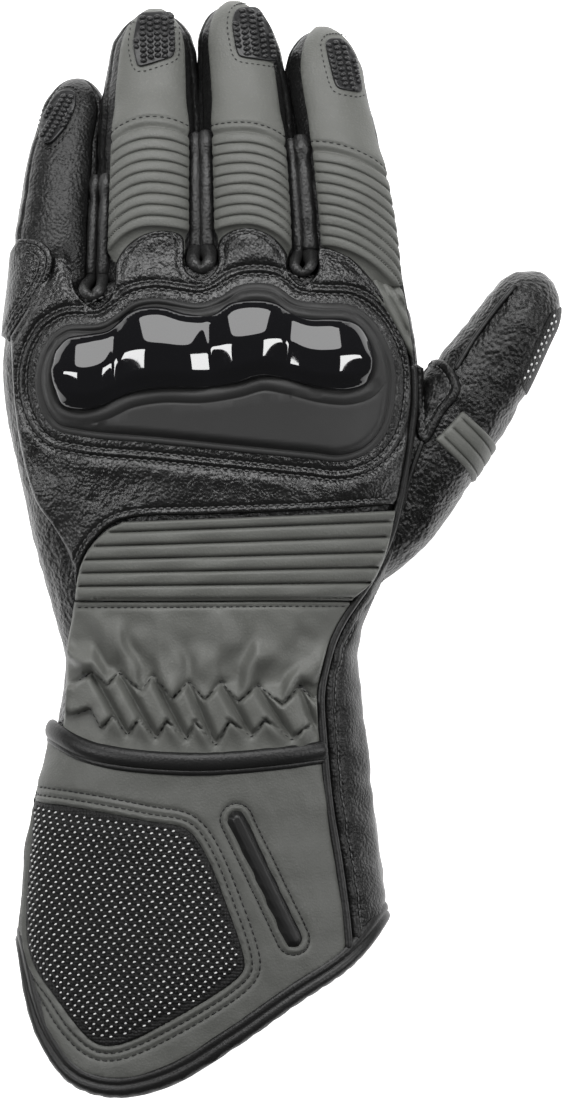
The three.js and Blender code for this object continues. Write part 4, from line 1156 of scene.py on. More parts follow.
class GLOVE_OT_hand(bpy.types.Operator):
    """Adds the hand with its thumb and cuff as one hollow skin, and the lining that shows in the mouth"""

    bl_idname = "glove.hand"
    bl_label = "Hand and lining"

    VOXEL = 1.25
    SKIN_WALL = 1.3
    THUMB_FROM = 34.0
    CUFF_BELOW = -85.0
    CAP_BELOW = -120.0
    LINING_IN, LINING_END = 4.0, 58.0

    def execute(self, context):
        palm = loft_object("palm", palm_rings())
        thumb = loft_object("thumb", THUMB.point(tip_rows(THUMB, -11.0, 1.1)[:, None], RING))
        skin = joined("hand_skin", palm, thumb)
        apply_modifier(skin, "REMESH", mode="VOXEL", voxel_size=self.VOXEL * MM)
        apply_modifier(skin, "SMOOTH", factor=0.5, iterations=5)
        places = read_corners(skin, "co") / MM
        soft = 0.22 * waves(places, 16.0, 3) + 0.1 * waves(places, 5.0, 4)
        on_thumb = smooth_step((places[:, 0] - self.THUMB_FROM) / 8.0)
        local = np.column_stack([THUMB.inward(places[:, :2]), places[:, 2]])
        creases = 0.13 * waves(local * (0.35, 1.0, 0.35), 4.6, 8)
        move_along_normals(skin, soft + on_thumb * creases)
        self.open_mouth(skin)
        apply_modifier(skin, "SOLIDIFY", thickness=self.SKIN_WALL * MM, offset=-1.0)
        skin.data.polygons.foreach_set("use_smooth", [True] * len(skin.data.polygons))
        nodes = ("hand_shell", "cuff_sleeve", "thumb_sheath")
        finish_piece(skin, "creased_black_leather", "black_leather", *nodes, fill=0.5)

        near = inside_hem(RING, self.LINING_IN)
        along = near + (self.LINING_END - near) * np.linspace(0, 1, 60)[:, None]
        outer = ARM.point(along, RING, -1.45, 1.4)
        inner = ARM.point(along, RING, -WALL, WALL)
        lining = ring_loop_object("cuff_lining", np.concatenate([outer, inner[::-1]]))
        finish_piece(lining, "lining_pile", "black_leather", fill=0.4)
        return {"FINISHED"}

    def open_mouth(self, skin):
        """Takes away what lies past the cuff's binding."""
        places = read_corners(skin, "co") / MM
        cuff = places[:, 1] < self.CUFF_BELOW
        limit = np.full(len(places), -FAR)
        limit[cuff] = inside_hem(arm_angles(places[cuff]), 2.0)
        side, mid, half_width, half_height = ARM.section(places[:, 1])
        middle = np.hypot((places[:, 0] - side) / half_width, (places[:, 2] - mid) / half_height) < 0.75
        outside = (places[:, 1] < limit) | (middle & cuff & (places[:, 1] < self.CAP_BELOW))
        only(skin)
        bpy.ops.object.mode_set(mode="EDIT")
        bpy.ops.mesh.select_all(action="DESELECT")
        bpy.ops.object.mode_set(mode="OBJECT")
        skin.data.vertices.foreach_set("select", outside)
        bpy.ops.object.mode_set(mode="EDIT")
        bpy.ops.mesh.select_mode(type="VERT")
        bpy.ops.mesh.delete(type="VERT")
        bpy.ops.object.mode_set(mode="OBJECT")


# Angles, in degrees round a finger, of the seams along its sides
FINGER_SEAMS = {"pinky": (38, 150), "ring": (27, 158), "middle": (24, 160), "index": (20, 160)}


class GLOVE_OT_fingers(bpy.types.Operator):
    """Adds the four hollow finger sheaths and the rolled seams between them"""

    bl_idname = "glove.fingers"
    bl_label = "Fingers and rolled seams"

    SIDE_SPREAD, SIDE_FILL = 26.0, 1.2
    SEAM_DEPTH, SEAM_SPREAD = 0.9, 3.2
    BEND, BEND_RISE = 2.1, 1.6

    def execute(self, context):
        for number, (name, form) in enumerate(FINGERS.items()):
            self.sheath(name, form, number)
        for name, (left, right, x, crotch, top, *legs) in FINGER_GAPS.items():
            path = self.gap_path(FINGERS[left], FINGERS[right], x, crotch, top, legs[:2])
            share = np.linspace(0, 1, len(path))
            fold = 0.22 * (dip(share - 0.02, 0.018) + dip(share - 0.98, 0.018))
            neck = 0.2 * (dip(share - 0.07, 0.02) + dip(share - 0.93, 0.02))
            wide = np.interp(share, (0.4, 0.5, 0.6), (legs[2], 0.82 * min(legs[2:]), legs[3]))
            radius = size("roll") * wide * (1 + fold - neck + 0.05 * waves(path, 7.0, 5))
            piece = tube(f"{name}_roll", path, radius, radius, 16)
            # The rolls' leather is painted lighter than the other black leather: painted light on the raised
            # rolls
            finish_piece(piece, "finger_roll_leather", "black_leather", f"{name}_fourchette_roll", fill=0.8)
        return {"FINISHED"}

    def sheath(self, name, form, number):
        rows = tip_rows(form, 62.0 if name != "ring" else 64.0, 0.9)
        along, turn = np.meshgrid(rows, RING, indexing="ij")
        rough = form.point(along, turn).reshape(-1, 3)
        lift = 0.14 * waves(rough * (0.3, 1.0, 0.4), 5.5, 20 + number)
        lift = lift + 0.15 * waves(rough, 13.0, 30 + number)
        lift = lift.reshape(along.shape) * smooth_step((form.reach - along) / 8.0)
        degrees = np.degrees(turn)
        thumb_side = dip((degrees + 180.0) % 360.0 - 180.0, self.SIDE_SPREAD) * (name != "index")
        far_side = dip(degrees - 180.0, self.SIDE_SPREAD) * (name != "pinky")
        towards_hand = smooth_step((form.reach - 10.0 - along) / 22.0)
        lift = lift + self.SIDE_FILL * (thumb_side + far_side) * towards_hand
        for angle in FINGER_SEAMS[name]:
            lift = lift - self.SEAM_DEPTH * dip(degrees - angle, self.SEAM_SPREAD)
        outer = form.point(along, turn, lift)
        inner = form.point(along, turn, -WALL, WALL)
        piece = loft_object(f"{name}_finger", np.concatenate([inner[::-1], outer]))
        finish_piece(piece, "soft_black_leather", "black_leather", f"{name}_sheath", fill=0.6)

    def gap_path(self, left, right, x, crotch, top, shares):
        """Up one finger's side, round the bottom of the gap and up the next."""
        along = np.linspace(top, crotch + 7.0, 16)
        first = left.point(along, left.angle_of(shares[0]), 0.9)
        second = right.point(along, right.angle_of(shares[1]), 0.9)
        low = crotch + 1.0
        z = BACK.point(np.array([x, low]), 1.4)[2]
        sides = [[x + away, low + self.BEND_RISE, z] for away in (-self.BEND, self.BEND)]
        return spline(np.vstack([first, sides[0], [x, low, z], sides[1], second[::-1]]), 0.8)


RIB_ROWS = (0.0, 0.03, 0.08, 0.17, 0.32, 0.5, 0.68, 0.83, 0.92, 0.97)


def padded_rib(number):
    """Height share of padded ribs with a narrow groove at each whole number."""
    away = np.abs(2 * (number - np.floor(number)) - 1)
    return np.sqrt(np.maximum(1 - away**4.5, 0.0))


def rib_numbers(ribs):
    """Numbers at which padded ribs have rows of corners."""
    return [rib + phase for rib in ribs for phase in RIB_ROWS]


class FingerBack:
    """The ribbed grey back of one finger."""

    LAID_AT = 105

    def __init__(self, name):
        self.left, self.right, self.apex, self.top, self.bottom, *self.drops = FINGER_BACKS[name]
        self.form = FINGERS[name]
        self.skin = Skin(self.form, self.LAID_AT)
        self.pitch = (self.top - self.bottom) / RIBS
        self.low, self.high = self.skin.shares([(self.left, 0), (self.right, 0)])[:, 0]
        shape = (self.skin, self.outline(), SHELL_GAP, PANEL_THICK, 0.5)
        self.patch = Patch(*shape, self.relief, 0.12, 40 + len(name), [self.seam()])

    def groove(self, across, number):
        """Height of a groove across the finger; its number may lie between two."""
        place = np.clip((across - self.low) / (self.high - self.low), 0.0, 1.0)
        share = np.clip(number / RIBS, 0.0, 1.0)
        left, right = (first + (last - first) * share for first, last in self.drops)
        left = left * (np.maximum(self.apex - place, 0.0) / self.apex) ** 2
        right = right * (np.maximum(place - self.apex, 0.0) / (1 - self.apex)) ** 2
        return self.top - number * self.pitch - left - right

    def number(self, flat):
        """Which groove a flat place is on, with the ribs between whole numbers."""
        number = (self.groove(flat[:, 0], 0) - flat[:, 1]) / self.pitch
        for _ in range(3):
            number = number + (self.groove(flat[:, 0], number) - flat[:, 1]) / self.pitch
        return number

    def relief(self, flat, on_skin, distance):
        number = self.number(flat)
        rib = size("finger_rib") * padded_rib(number)
        rib = rib * (0.7 + 0.3 * smooth_step(distance / 1.5))
        above = -number * self.pitch
        crown = 0.8 * size("finger_rib") * smooth_step(above / 2.0) * (1 - smooth_step((above - 3.0) / 9.0))
        beyond = np.where(number <= 0, crown, -1.2 * smooth_step((number - RIBS) * self.pitch / 2.0))
        return np.where((number > 0) & (number < RIBS), rib, beyond) + 0.3 * smooth_step(distance / 3.0) - 0.2

    def seam(self):
        """The valley above the ribs in which a row of stitches lies."""
        across = np.arange(self.low + 0.6, self.high - 0.4, 0.7)
        return Channel(places_at(across, self.groove(across, -1.0)), False, 0.35, 0.5)

    def outline(self):
        left, right, low = self.left, self.right, self.bottom
        end = self.form.cap_start + self.form.cap * np.sin(np.radians(82))
        return outline_of(
            self.skin.shares([(left, end), (left, (end + low) / 2), (left, low - 10)]),
            self.skin.shares([(left, low - 10), (right, low - 12)]),
            self.skin.shares([(right, low - 12), (right, (end + low) / 2), (right, end)]),
            self.skin.shares([(share, end) for share in np.linspace(right, left, 12)]),
            step=0.9,
        )

    def fill(self):
        """Flat places that follow the ribs, and an even grid beyond them."""
        across = np.arange(self.low + 0.5, self.high, 0.5)
        numbers = [-0.75, -0.55, -0.38, -0.22, -0.1, *rib_numbers(range(RIBS)), RIBS]
        rows = [places_at(across, self.groove(across, number)) for number in numbers]
        plain = hex_grid(self.patch.outline, 1.3)
        number = self.number(plain)
        return np.vstack([*rows, plain[(number < -0.85) | (number > RIBS + 0.3)]])


class GLOVE_OT_finger_backs(bpy.types.Operator):
    """Adds the ribbed grey backs of three fingers with their stitches"""

    bl_idname = "glove.finger_backs"
    bl_label = "Ribbed finger backs"

    TAIL = (
        (24.0, 82.5), (28.5, 84.5), (32.6, 82.0), (34.4, 74.0), (36.0, 66.0), (37.2, 58.0), (37.0, 54.0),
        (33.0, 61.5), (29.0, 69.0), (23.0, 76.5),
    )
    PIPING = ((28.9, 104.0), (31.6, 88.0), (34.3, 72.0), (36.2, 61.0), (37.3, 51.0))

    def execute(self, context):
        for name in FINGER_BACKS:
            back = FingerBack(name)
            piece = back.patch.make(f"{name}_ribs", 0.6, fill=back.fill())
            finish_piece(piece, "smooth_grey_leather", "grey_leather", f"{name}_back", fill=0.6)
            sewing = stitches(0.75, 0.85)
            sewing.along(back.patch, back.seam().curve, pitch=1.75)
            finish_piece(sewing.make(f"{name}_back_thread"), "black_thread", "grey_leather")
        tail = Patch(BACK, rounded_polygon(self.TAIL, 0.8), SHELL_GAP, PANEL_THICK, 0.7, self.tail_relief)
        finish_piece(tail.make("index_ribs_tail", 0.45), "smooth_grey_leather", "grey_leather", fill=0.6)
        piping = tube("index_side_piping", BACK.point(spline(self.PIPING, 1.0), 0.7), 0.8, 0.7, 10)
        finish_piece(piping, "rolled_leather", "black_leather", fill=0.8)
        return {"FINISHED"}

    def tail_relief(self, flat, on_skin, distance):
        rib = np.abs(np.sin(np.pi * (flat[:, 1] + 1.9 * flat[:, 0]) / 5.2)) ** 0.7
        return 1.1 * rib - 0.5 - 2.6 * smooth_step((flat[:, 1] - 72.0) / 7.0)


class GLOVE_OT_tip_pads(bpy.types.Operator):
    """Adds the braided pads on the fingertips with their sewn rims"""

    bl_idname = "glove.tip_pads"
    bl_label = "Fingertip pads"

    LAID_LIFT = 1.5
    BRAID_WIDTH, BRAID_STEP, BRAID_LEAN = 2.1, 1.4, 0.3
    STITCH_PITCH = 1.45

    def execute(self, context):
        for name, corners in TIP_PADS.items():
            self.pad(name, corners)
        return {"FINISHED"}

    def pad(self, name, corners):
        form = FINGERS[name]
        skin = Skin(form, form.cap_start)
        on_back = name in FINGER_BACKS
        lift = SHELL_GAP + (PANEL_THICK if on_back else 0.1)
        plan = rounded_polygon(corners, 1.3)
        rim = Patch(skin, skin.flat(plan, self.LAID_LIFT), lift, 0.9, 0.5, self.recess)
        finish_piece(rim.make(f"{name}_tip_base", 0.8), "braided_rubber", "studded_rubber", f"{name}_tip_pad")

        long_way = unit(np.array(STUD_WAYS[name]))
        wide_way = np.array([long_way[1], -long_way[0]])
        centre = plan.mean(axis=0)
        spans = (plan - centre) @ np.stack([wide_way, long_way], axis=-1)
        low, high = spans.min(axis=0), spans.max(axis=0)
        columns = max(int(round((high[0] - low[0]) / self.BRAID_WIDTH)), 3)
        width = (high[0] - low[0]) / columns
        places, leans = [], []
        for column in range(columns):
            along = np.arange(low[1] + 0.4 * (column % 2), high[1], self.BRAID_STEP)
            offset = low[0] + (column + 0.5) * width
            places.append(centre + offset * wide_way + along[:, None] * long_way)
            leans.append(np.full(len(along), self.BRAID_LEAN if column % 2 else -self.BRAID_LEAN))
        places, leans = np.vstack(places), np.concatenate(leans)
        kept = well_inside(plan, places, 0.8)
        flat, leans = skin.flat(places[kept], self.LAID_LIFT), leans[kept]
        up = rim.facing(flat)
        ahead = unit(rim.point(flat + (0.0, 0.2)) - rim.point(flat - (0.0, 0.2)))
        ahead = ahead + np.cross(up, ahead) * leans[:, None]
        sizes = (1.6, width * 1.05, 1.5)
        studs = scatter(f"{name}_tip_studs", bead(8, 6), rim.point(flat, 0.1), ahead, up, sizes)
        finish_piece(studs, "braided_rubber", "studded_rubber")

        row = shifted(plan, -1.4, closed=True)
        height = SHELL_GAP
        if on_back:
            back = FingerBack(name)
            height = SHELL_GAP + PANEL_THICK + 0.1
            on_finger_back = back.skin.flat(row, self.LAID_LIFT)
            row = from_gap(row[well_inside(back.patch.outline, on_finger_back, 0.7)])
        sewing = stitches(0.55, 0.75)
        row = resample(skin.flat(row, self.LAID_LIFT), self.STITCH_PITCH)
        sewing.add(skin.point(row, height + 0.1), skin.facing(row, height))
        finish_piece(sewing.make(f"{name}_tip_thread"), "black_thread", "studded_rubber")

    def recess(self, flat, on_skin, distance):
        return -0.35 * smooth_step((distance - 0.5) / 0.6)


# Back of the hand


def between_x(row, low, high):
    """The part of a row between two places across."""
    return row[(row[:, 0] > low) & (row[:, 0] < high)]


class GLOVE_OT_hand_back(bpy.types.Operator):
    """Adds the black leather over the back of the hand with its double rows of stitches"""

    bl_idname = "glove.hand_back"
    bl_label = "Back of the hand"

    def execute(self, context):
        curves = (HAND_BACK_EDGE, WRIST_LINE, LITTLE_FINGER_SEAM)
        lobes, wrist, side = (spline(curve, 0.9) for curve in curves)
        outline = np.vstack([lobes[:-1], seam_places(61.0, 13.0, -1.7), wrist[:-1], side[:-1]])
        rows = [shifted(SURROUND, -away, closed=True) for away in (2.6, 5.0)]
        above_wrist = shifted(wrist, -2.0)
        by_lobes = shifted(lobes, -1.6)

        def relief(flat, on_skin, distance):
            away = distance_to(SURROUND, flat)
            rise = 0.28 * waves(flat, 15.0, 51) + 0.12 * waves(flat, 4.2, 52) * smooth_step(away / 8.0)
            rise = rise + 0.3 * dip(away - 3.8, 0.9) + 0.7 * dip(away - 7.8, 2.4)
            corner = smooth_step((flat[:, 1] - 72.0) / 11.0) * smooth_step((-57.0 - flat[:, 0]) / 4.0)
            return rise - (PANEL_THICK + 0.6) * corner

        channels = [Channel(row, True, 0.6, 0.7) for row in rows]
        channels += [Channel(above_wrist, False, 0.6, 0.7), Channel(by_lobes, False, 0.5, 0.7)]
        patch = Patch(BACK, outline, SHELL_GAP, PANEL_THICK, 1.0, relief, channels=channels)
        piece = patch.make("hand_back", 1.15)
        finish_piece(piece, "pebbled_black_leather", "black_leather", "hand_back_panel", fill=0.5)
        sewing = stitches(0.95, 1.25)
        for row in rows:
            row = from_gap(row[well_inside(patch.outline, row, 1.4)], closing=True)
            sewing.along(patch, row[1:-1], RAISED + 0.05)
        sewing.along(patch, above_wrist[2:-2], RAISED + 0.05)
        for low, high in ((-66.5, -61.0), (-47.0, -29.5), (-18.0, 0.5), (10.5, 33.0)):
            sewing.along(patch, between_x(by_lobes, low, high), RAISED, pitch=2.1)
        # The stitches over the black leather are black thread painted lighter: painted highlights
        finish_piece(sewing.make("hand_back_thread"), "waxed_thread", "black_leather")
        return {"FINISHED"}


PINKY_PATCH = (
    (-77.8, 89.4), (-71.8, 88.6), (-68.4, 85.0), (-68.4, 80.6), (-72.6, 72.0), (-77.6, 65.0), (-81.0, 59.6),
)


class GLOVE_OT_sides(bpy.types.Operator):
    """Adds the patch beside the little finger, the strip down the thumb's side and the piping between"""

    bl_idname = "glove.sides"
    bl_label = "Side patch, strip and piping"

    def execute(self, context):
        skin = Skin(ARM, 60)
        front = skin.flat(spline(PINKY_PATCH, 0.8), 1.5)
        low = skin.across(np.radians(200.0))
        outline = np.vstack([front, spline([(low, 60.0), (low, 84.0)], 1.0)[:-1]])
        rows = [shifted(front, away) for away in (-1.7, -3.9)]
        channels = [Channel(row[2:-2], False, 0.5, 0.7) for row in rows]
        patch = Patch(skin, outline, 0.1, 1.0, 0.8, None, 0.15, 61, channels)
        piece = patch.make("little_finger_patch", 1.1)
        finish_piece(piece, "pebbled_black_leather", "black_leather", "pinky_side_patch", fill=0.5)
        sewing = stitches()
        for row in rows:
            sewing.along(patch, row[4:-4], RAISED)

        edge = self.strip_edge()
        rows = [CUFF.flat(seam_places(high, low, 3.0)) for high, low in ((46.0, -18.0), (-22.0, -113.0))]
        channels = [Channel(row, False, 0.5, 0.6) for row in rows]
        strip = Patch(CUFF, edge, SHELL_GAP, PANEL_THICK, 0.9, self.strip_relief, channels=channels)
        piece = strip.make("thumb_side_strip", 1.3)
        finish_piece(piece, "soft_black_leather", "black_leather", "side_panel", fill=0.4)
        for row in rows:
            sewing.along(strip, row, RAISED)
        # The stitches over the black leather are black thread painted lighter: painted highlights
        finish_piece(sewing.make("side_thread"), "waxed_thread", "black_leather")

        y = np.arange(52.0, -116.0, -1.0)
        path = ARM.point(y, ARM.angle_of(np.interp(y, *SEAM_CURVE.T)), 1.15)
        outward = CUFF.facing(CUFF.flat(seam_places(52.0, -116.0)), 1.0)[: len(path)]
        piece = tube("side_piping", path, 1.25, 1.15, 12, outward)
        finish_piece(piece, "rolled_leather", "binding_leather", "side_seam_piping", fill=0.8)
        return {"FINISHED"}

    def strip_edge(self):
        left = CUFF.flat(seam_places(53.0, -117.0, 0.7))
        turn = np.radians(np.interp(left[:, 1], (-30, -10), (-14.0, 2.0)))
        right = places_at(CUFF.across(turn), left[:, 1])
        hem_turns = np.linspace(CUFF.angle(left[-1, 0]), np.radians(-14.0), 24)
        hem = places_at(CUFF.across(hem_turns), inside_hem(hem_turns, 4.4))
        keep = right[:, 1] > hem[-1, 1] + 1.0
        return np.vstack([left[left[:, 1] > hem[0, 1] + 1.0], hem, right[keep][::-1]])

    def strip_relief(self, flat, on_skin, distance):
        return 0.2 * waves(on_skin * (0.5, 1.0, 0.5), 6.0, 63) + 0.15 * waves(on_skin, 14.0, 64)


# Knuckles

FLANGE = 1.0
SURROUND_LIFT = 1.45
GUARD_LIFT = SURROUND_LIFT + FLANGE + 0.9
GUARD_THICK = 0.7


def up_guard(flat):
    """Shares of the way from the guard's lower edge to its upper one, for flat places."""
    left, right = np.argmin(GUARD[:, 0]), np.argmax(GUARD[:, 0])
    lower = np.roll(GUARD, -left, axis=0)[: (right - left) % len(GUARD) + 1]
    upper = np.roll(GUARD, -right, axis=0)[: (left - right) % len(GUARD) + 1][::-1]
    low, high = np.interp(flat[:, 0], *lower.T), np.interp(flat[:, 0], *upper.T)
    return np.clip((flat[:, 1] - low) / np.maximum(high - low, 1.0), 0.0, 1.0)


class GLOVE_OT_knuckles(bpy.types.Operator):
    """Adds the moulded knuckle pad and the polished guard that stands in it"""

    bl_idname = "glove.knuckles"
    bl_label = "Knuckle pad and guard"

    VALLEY, SWELLING = 2.6, 3.8
    VALLEY_ROUNDING, SWELLING_POWER = 0.012, 0.34
    LEAN_FROM, LEAN, LEAN_ROUNDING = 0.55, 0.66, 0.003

    def execute(self, context):
        groove, crease = shifted(SURROUND, 2.0, closed=True), shifted(GUARD, -4.0, closed=True)
        crease = from_gap(crease[well_inside(SURROUND, crease, 3.4)])
        channels = [Channel(groove, True, 0.45, 0.4), Channel(crease, False, 0.3, 0.4)]
        pad = Patch(BACK, SURROUND, SURROUND_LIFT, FLANGE, 0.8, self.pad_relief, channels=channels)
        piece = pad.make("knuckle_pad", 0.9)
        finish_piece(piece, "matt_rubber", "moulded_rubber", "knuckle_surround", fill=0.9)
        guard = Patch(BACK, GUARD, GUARD_LIFT, GUARD_THICK, 0.7, self.guard_relief)
        finish_piece(guard.make("knuckle_dome", 0.55), "polished_plastic", "gloss_guard", "knuckle_guard")
        return {"FINISHED"}

    def pad_relief(self, flat, on_skin, distance):
        away = distance_out(GUARD, flat)
        body = size("padding") * smooth_step((distance - 1.9) / 2.2)
        lip = 0.9 * dip(away - 1.9, 1.3)
        under = 0.8 * smooth_step((0.4 - away) / 1.2)
        return body + lip - under

    def guard_relief(self, flat, on_skin, distance):
        """Four swellings with valleys between them, which lean back above and roll under below."""
        up = up_guard(flat)
        valleys = [low + (high - low) * up for high, low in GUARD_VALLEYS]
        number = np.zeros(len(flat))
        for index, (start, end) in enumerate(zip(valleys, valleys[1:])):
            within = (flat[:, 0] >= start) & (flat[:, 0] < end)
            number = np.where(within, index + (flat[:, 0] - start) / (end - start), number)
        swell = (np.sin(np.pi * number) ** 2 + self.VALLEY_ROUNDING) ** self.SWELLING_POWER
        lean = up - self.LEAN_FROM
        lean = 1 - self.LEAN * (lean + np.sqrt(lean**2 + self.LEAN_ROUNDING))
        profile = (0.6 + 0.4 * smooth_step(up / 0.25)) * lean
        upper_rim = 0.42 * np.maximum(2.4 - distance, 0.0) * smooth_step((up - 0.6) / 0.2)
        return (self.VALLEY + self.SWELLING * swell) * profile - 0.6 - upper_rim


# Wrist


def wrist_level(flat):
    """Level of a place on the wrist's rolls, which climb a little towards the thumb."""
    x, y = flat[:, 0], flat[:, 1]
    climb = np.interp(y, (-16.0, 9.0), (0.004, 0.042))
    return y - climb * (x + 46.0)


class GLOVE_OT_wrist(bpy.types.Operator):
    """Adds the padded rolls over the wrist and the leather that elastic gathers under them"""

    bl_idname = "glove.wrist"
    bl_label = "Wrist rolls and gather"

    TOP_GROOVE = 4.5
    GROOVE_PITCH = 3.88
    ROLLS = 6
    LAST_ROW = 5.3
    FAN_CENTRE, FAN_SPREAD = 29.0, 0.045

    def execute(self, context):
        self.rolls()
        self.gather()
        return {"FINISHED"}

    def rolls(self):
        right = ((32.2, 10.7), (31.2, 5.5), (29.4, -1.7), (26.0, -9.3), (19.6, -15.2))
        left = ((-60.6, -15.3), (-59.8, -8.7), (-58.0, -3.1), (-54.6, 1.9), (-50.6, 5.4), (-46.8, 7.2))
        outline = anticlockwise(outline_of(ACCORDION_TOP, right, ACCORDION_LOW[::-1], left, step=0.8))

        def relief(flat, on_skin, distance):
            number = (self.TOP_GROOVE - wrist_level(flat)) / self.GROOVE_PITCH
            roll = padded_rib(number)
            crown = np.where(number < 0, np.where(number > -0.5, roll, 1.0), 0.0)
            foot = np.where(number > 5, 0.55, 1.0)
            uneven = 1 + 0.1 * waves(flat * (0.5, 1.0), 9.0, 71)
            return size("wrist_rib") * np.maximum(roll * (number > 0) * foot, crown) * uneven - 0.4

        phases = [phase for phase in rib_numbers(range(self.ROLLS)) if phase < self.LAST_ROW]
        phases = [-0.7, -0.5, -0.32, -0.17, -0.08, -0.03, *phases]
        x = np.arange(-62.0, 34.0, 1.0)
        rows = []
        for phase in phases:
            y = np.full(len(x), self.TOP_GROOVE - phase * self.GROOVE_PITCH)
            for _ in range(4):
                y = y + self.TOP_GROOVE - phase * self.GROOVE_PITCH - wrist_level(places_at(x, y))
            rows.append(places_at(x, y))
        patch = Patch(ARM_TOP, outline, SHELL_GAP, PANEL_THICK, 0.5, relief)
        piece = patch.make("wrist_rolls", 0.6, fill=np.vstack(rows))
        finish_piece(piece, "smooth_grey_leather", "grey_leather", "wrist_accordion", fill=0.8)
        sewing = stitches(0.7, 0.8)
        for number, low, high in ((0.0, -46, 30), (2.0, -40, 28), (4.0, -54, 12)):
            sewing.along(patch, between_x(rows[phases.index(number)], low, high), 0.45, pitch=1.7)
        finish_piece(sewing.make("wrist_rolls_thread"), "black_thread", "grey_leather")
        # Dark thread cords laid along the grooves between the rolls: painted shade where the grooves lie in
        # shadow
        for number in range(1, self.ROLLS - 1):
            row = rows[phases.index(number)]
            row = row[well_inside(outline, row, 0.9)]
            groove_shade_cord = tube(f"wrist_groove_{number}", patch.point(row, 0.12), 0.42, 0.3, 8, patch.facing(row))
            finish_piece(groove_shade_cord, "black_thread", "grey_leather", fill=0.8)

    def gather(self):
        low = ((-64.4, -54.6), (-57.9, -59.4), (-46.8, -61.6), (-24.8, -63.2), (-2.5, -61.7), (9.4, -60.0))
        left = ((-60.7, -15.6), (-61.6, -21.2), (-62.8, -27.8), (-63.3, -42.6), (-64.4, -54.6))
        high = ((19.0, -15.6), (0.0, -15.5), (-30.0, -15.6), (-60.7, -15.6))
        right = seam_places(-16.5, -60.0, -1.7)[::-1]
        low, high, left = (spline(side, 0.9)[:-1] for side in (low, high, left))
        outline = np.vstack([low, right, high, left])
        upper, lower = np.array(UPPER_ZIGZAG), np.array(LOWER_ZIGZAG)
        peaks, troughs = upper[1::2], lower[2::2]
        fold = size("fold")
        valleys = [np.array([peak, trough]) for peak, trough in zip(peaks, troughs[1:])]

        def relief(flat, on_skin, distance):
            x, y = flat.T
            top, foot = np.interp(x, *upper.T), np.interp(x, *lower.T)
            above, below = np.maximum(y - top, 0.0), np.maximum(foot - y, 0.0)
            fan = -self.FAN_CENTRE + (x + self.FAN_CENTRE) / (1 + self.FAN_SPREAD * above)
            number = np.interp(fan + 0.8 * waves(flat, 11.0, 74), peaks[:, 0], np.arange(len(peaks)))
            strength = 0.7 + 0.3 * waves(flat, 16.0, 75)
            ridge = 0.5 - 0.5 * np.cos(2 * np.pi * number)
            crease = dip(np.abs(number - np.round(number)) * 9.5, 1.0 + 0.1 * above)
            upper_part = fold * (2.1 * ridge - 0.85 * crease) * dip(above, 17.0) * strength
            near = np.min([distance_to(valley, flat, closed=False) for valley in valleys], axis=0)
            middle = fold * (1.6 - 2.2 * dip(near, 1.4))
            short = np.interp(x, troughs[:, 0], np.arange(len(troughs)))
            lower_part = fold * (0.75 - 0.75 * np.cos(2 * np.pi * short)) * dip(below, 4.0)
            within = smooth_step((top - y) / 1.5) * smooth_step((y - foot) / 1.5)
            rise = np.where(y > top, upper_part, 0.0) + middle * within + np.where(y < foot, lower_part, 0.0)
            rise = rise + 0.1 * waves(flat, 7.0, 76)
            return rise * smooth_step((-15.0 - y) / 5.0)

        seam = spline([(-60.2, -17.3), (-30.0, -17.2), (0.0, -16.9), (18.0, -17.0)], 1.0)
        channels = [Channel(resample(row, 0.7), False, 0.5, 0.7) for row in (upper, lower)]
        channels += [Channel(resample(valley, 0.7), False, 0.15, 0.6) for valley in valleys]
        channels.append(Channel(seam, False, 0.5, 0.6))
        patch = Patch(ARM_TOP, outline, SHELL_GAP + 0.3, PANEL_THICK, 0.8, relief, channels=channels)
        piece = patch.make("wrist_folds", 0.8)
        finish_piece(piece, "smooth_grey_leather", "grey_leather", "wrist_gather", fill=0.3)
        sewing = stitches(0.75, 0.85)
        for row in (UPPER_ZIGZAG, LOWER_ZIGZAG):
            sewing.along(patch, resample(row, 0.6)[3:-3], pitch=1.9)
        sewing.along(patch, seam[1:-1], pitch=1.9)
        finish_piece(sewing.make("wrist_folds_thread"), "black_thread", "grey_leather")


# Gauntlet

# how far inside the hem and how high over the form the binding's section runs
HEM_SECTION = (
    (6.0, 1.7), (5.2, 2.05), (4.2, 2.1), (3.75, 1.6), (3.3, 2.15), (2.3, 2.5), (1.1, 2.0), (0.25, 0.9),
    (0.0, -0.6), (0.3, -2.2), (1.4, -3.2), (3.4, -3.6), (5.6, -3.3), (6.1, -1.6), (6.2, 0.6),
)


def rounded_bar(start, end, radius):
    """Outline of a bar with round ends."""
    start, end = np.asarray(start, float), np.asarray(end, float)
    heading = np.arctan2(*(end - start)[::-1])
    turns = np.linspace(-np.pi / 2, np.pi / 2, 16)
    caps = [
        place + radius * places_at(np.cos(heading + way + turns), np.sin(heading + way + turns))
        for place, way in ((end, 0.0), (start, np.pi))
    ]
    return resample(np.vstack(caps), 0.5, closed=True)


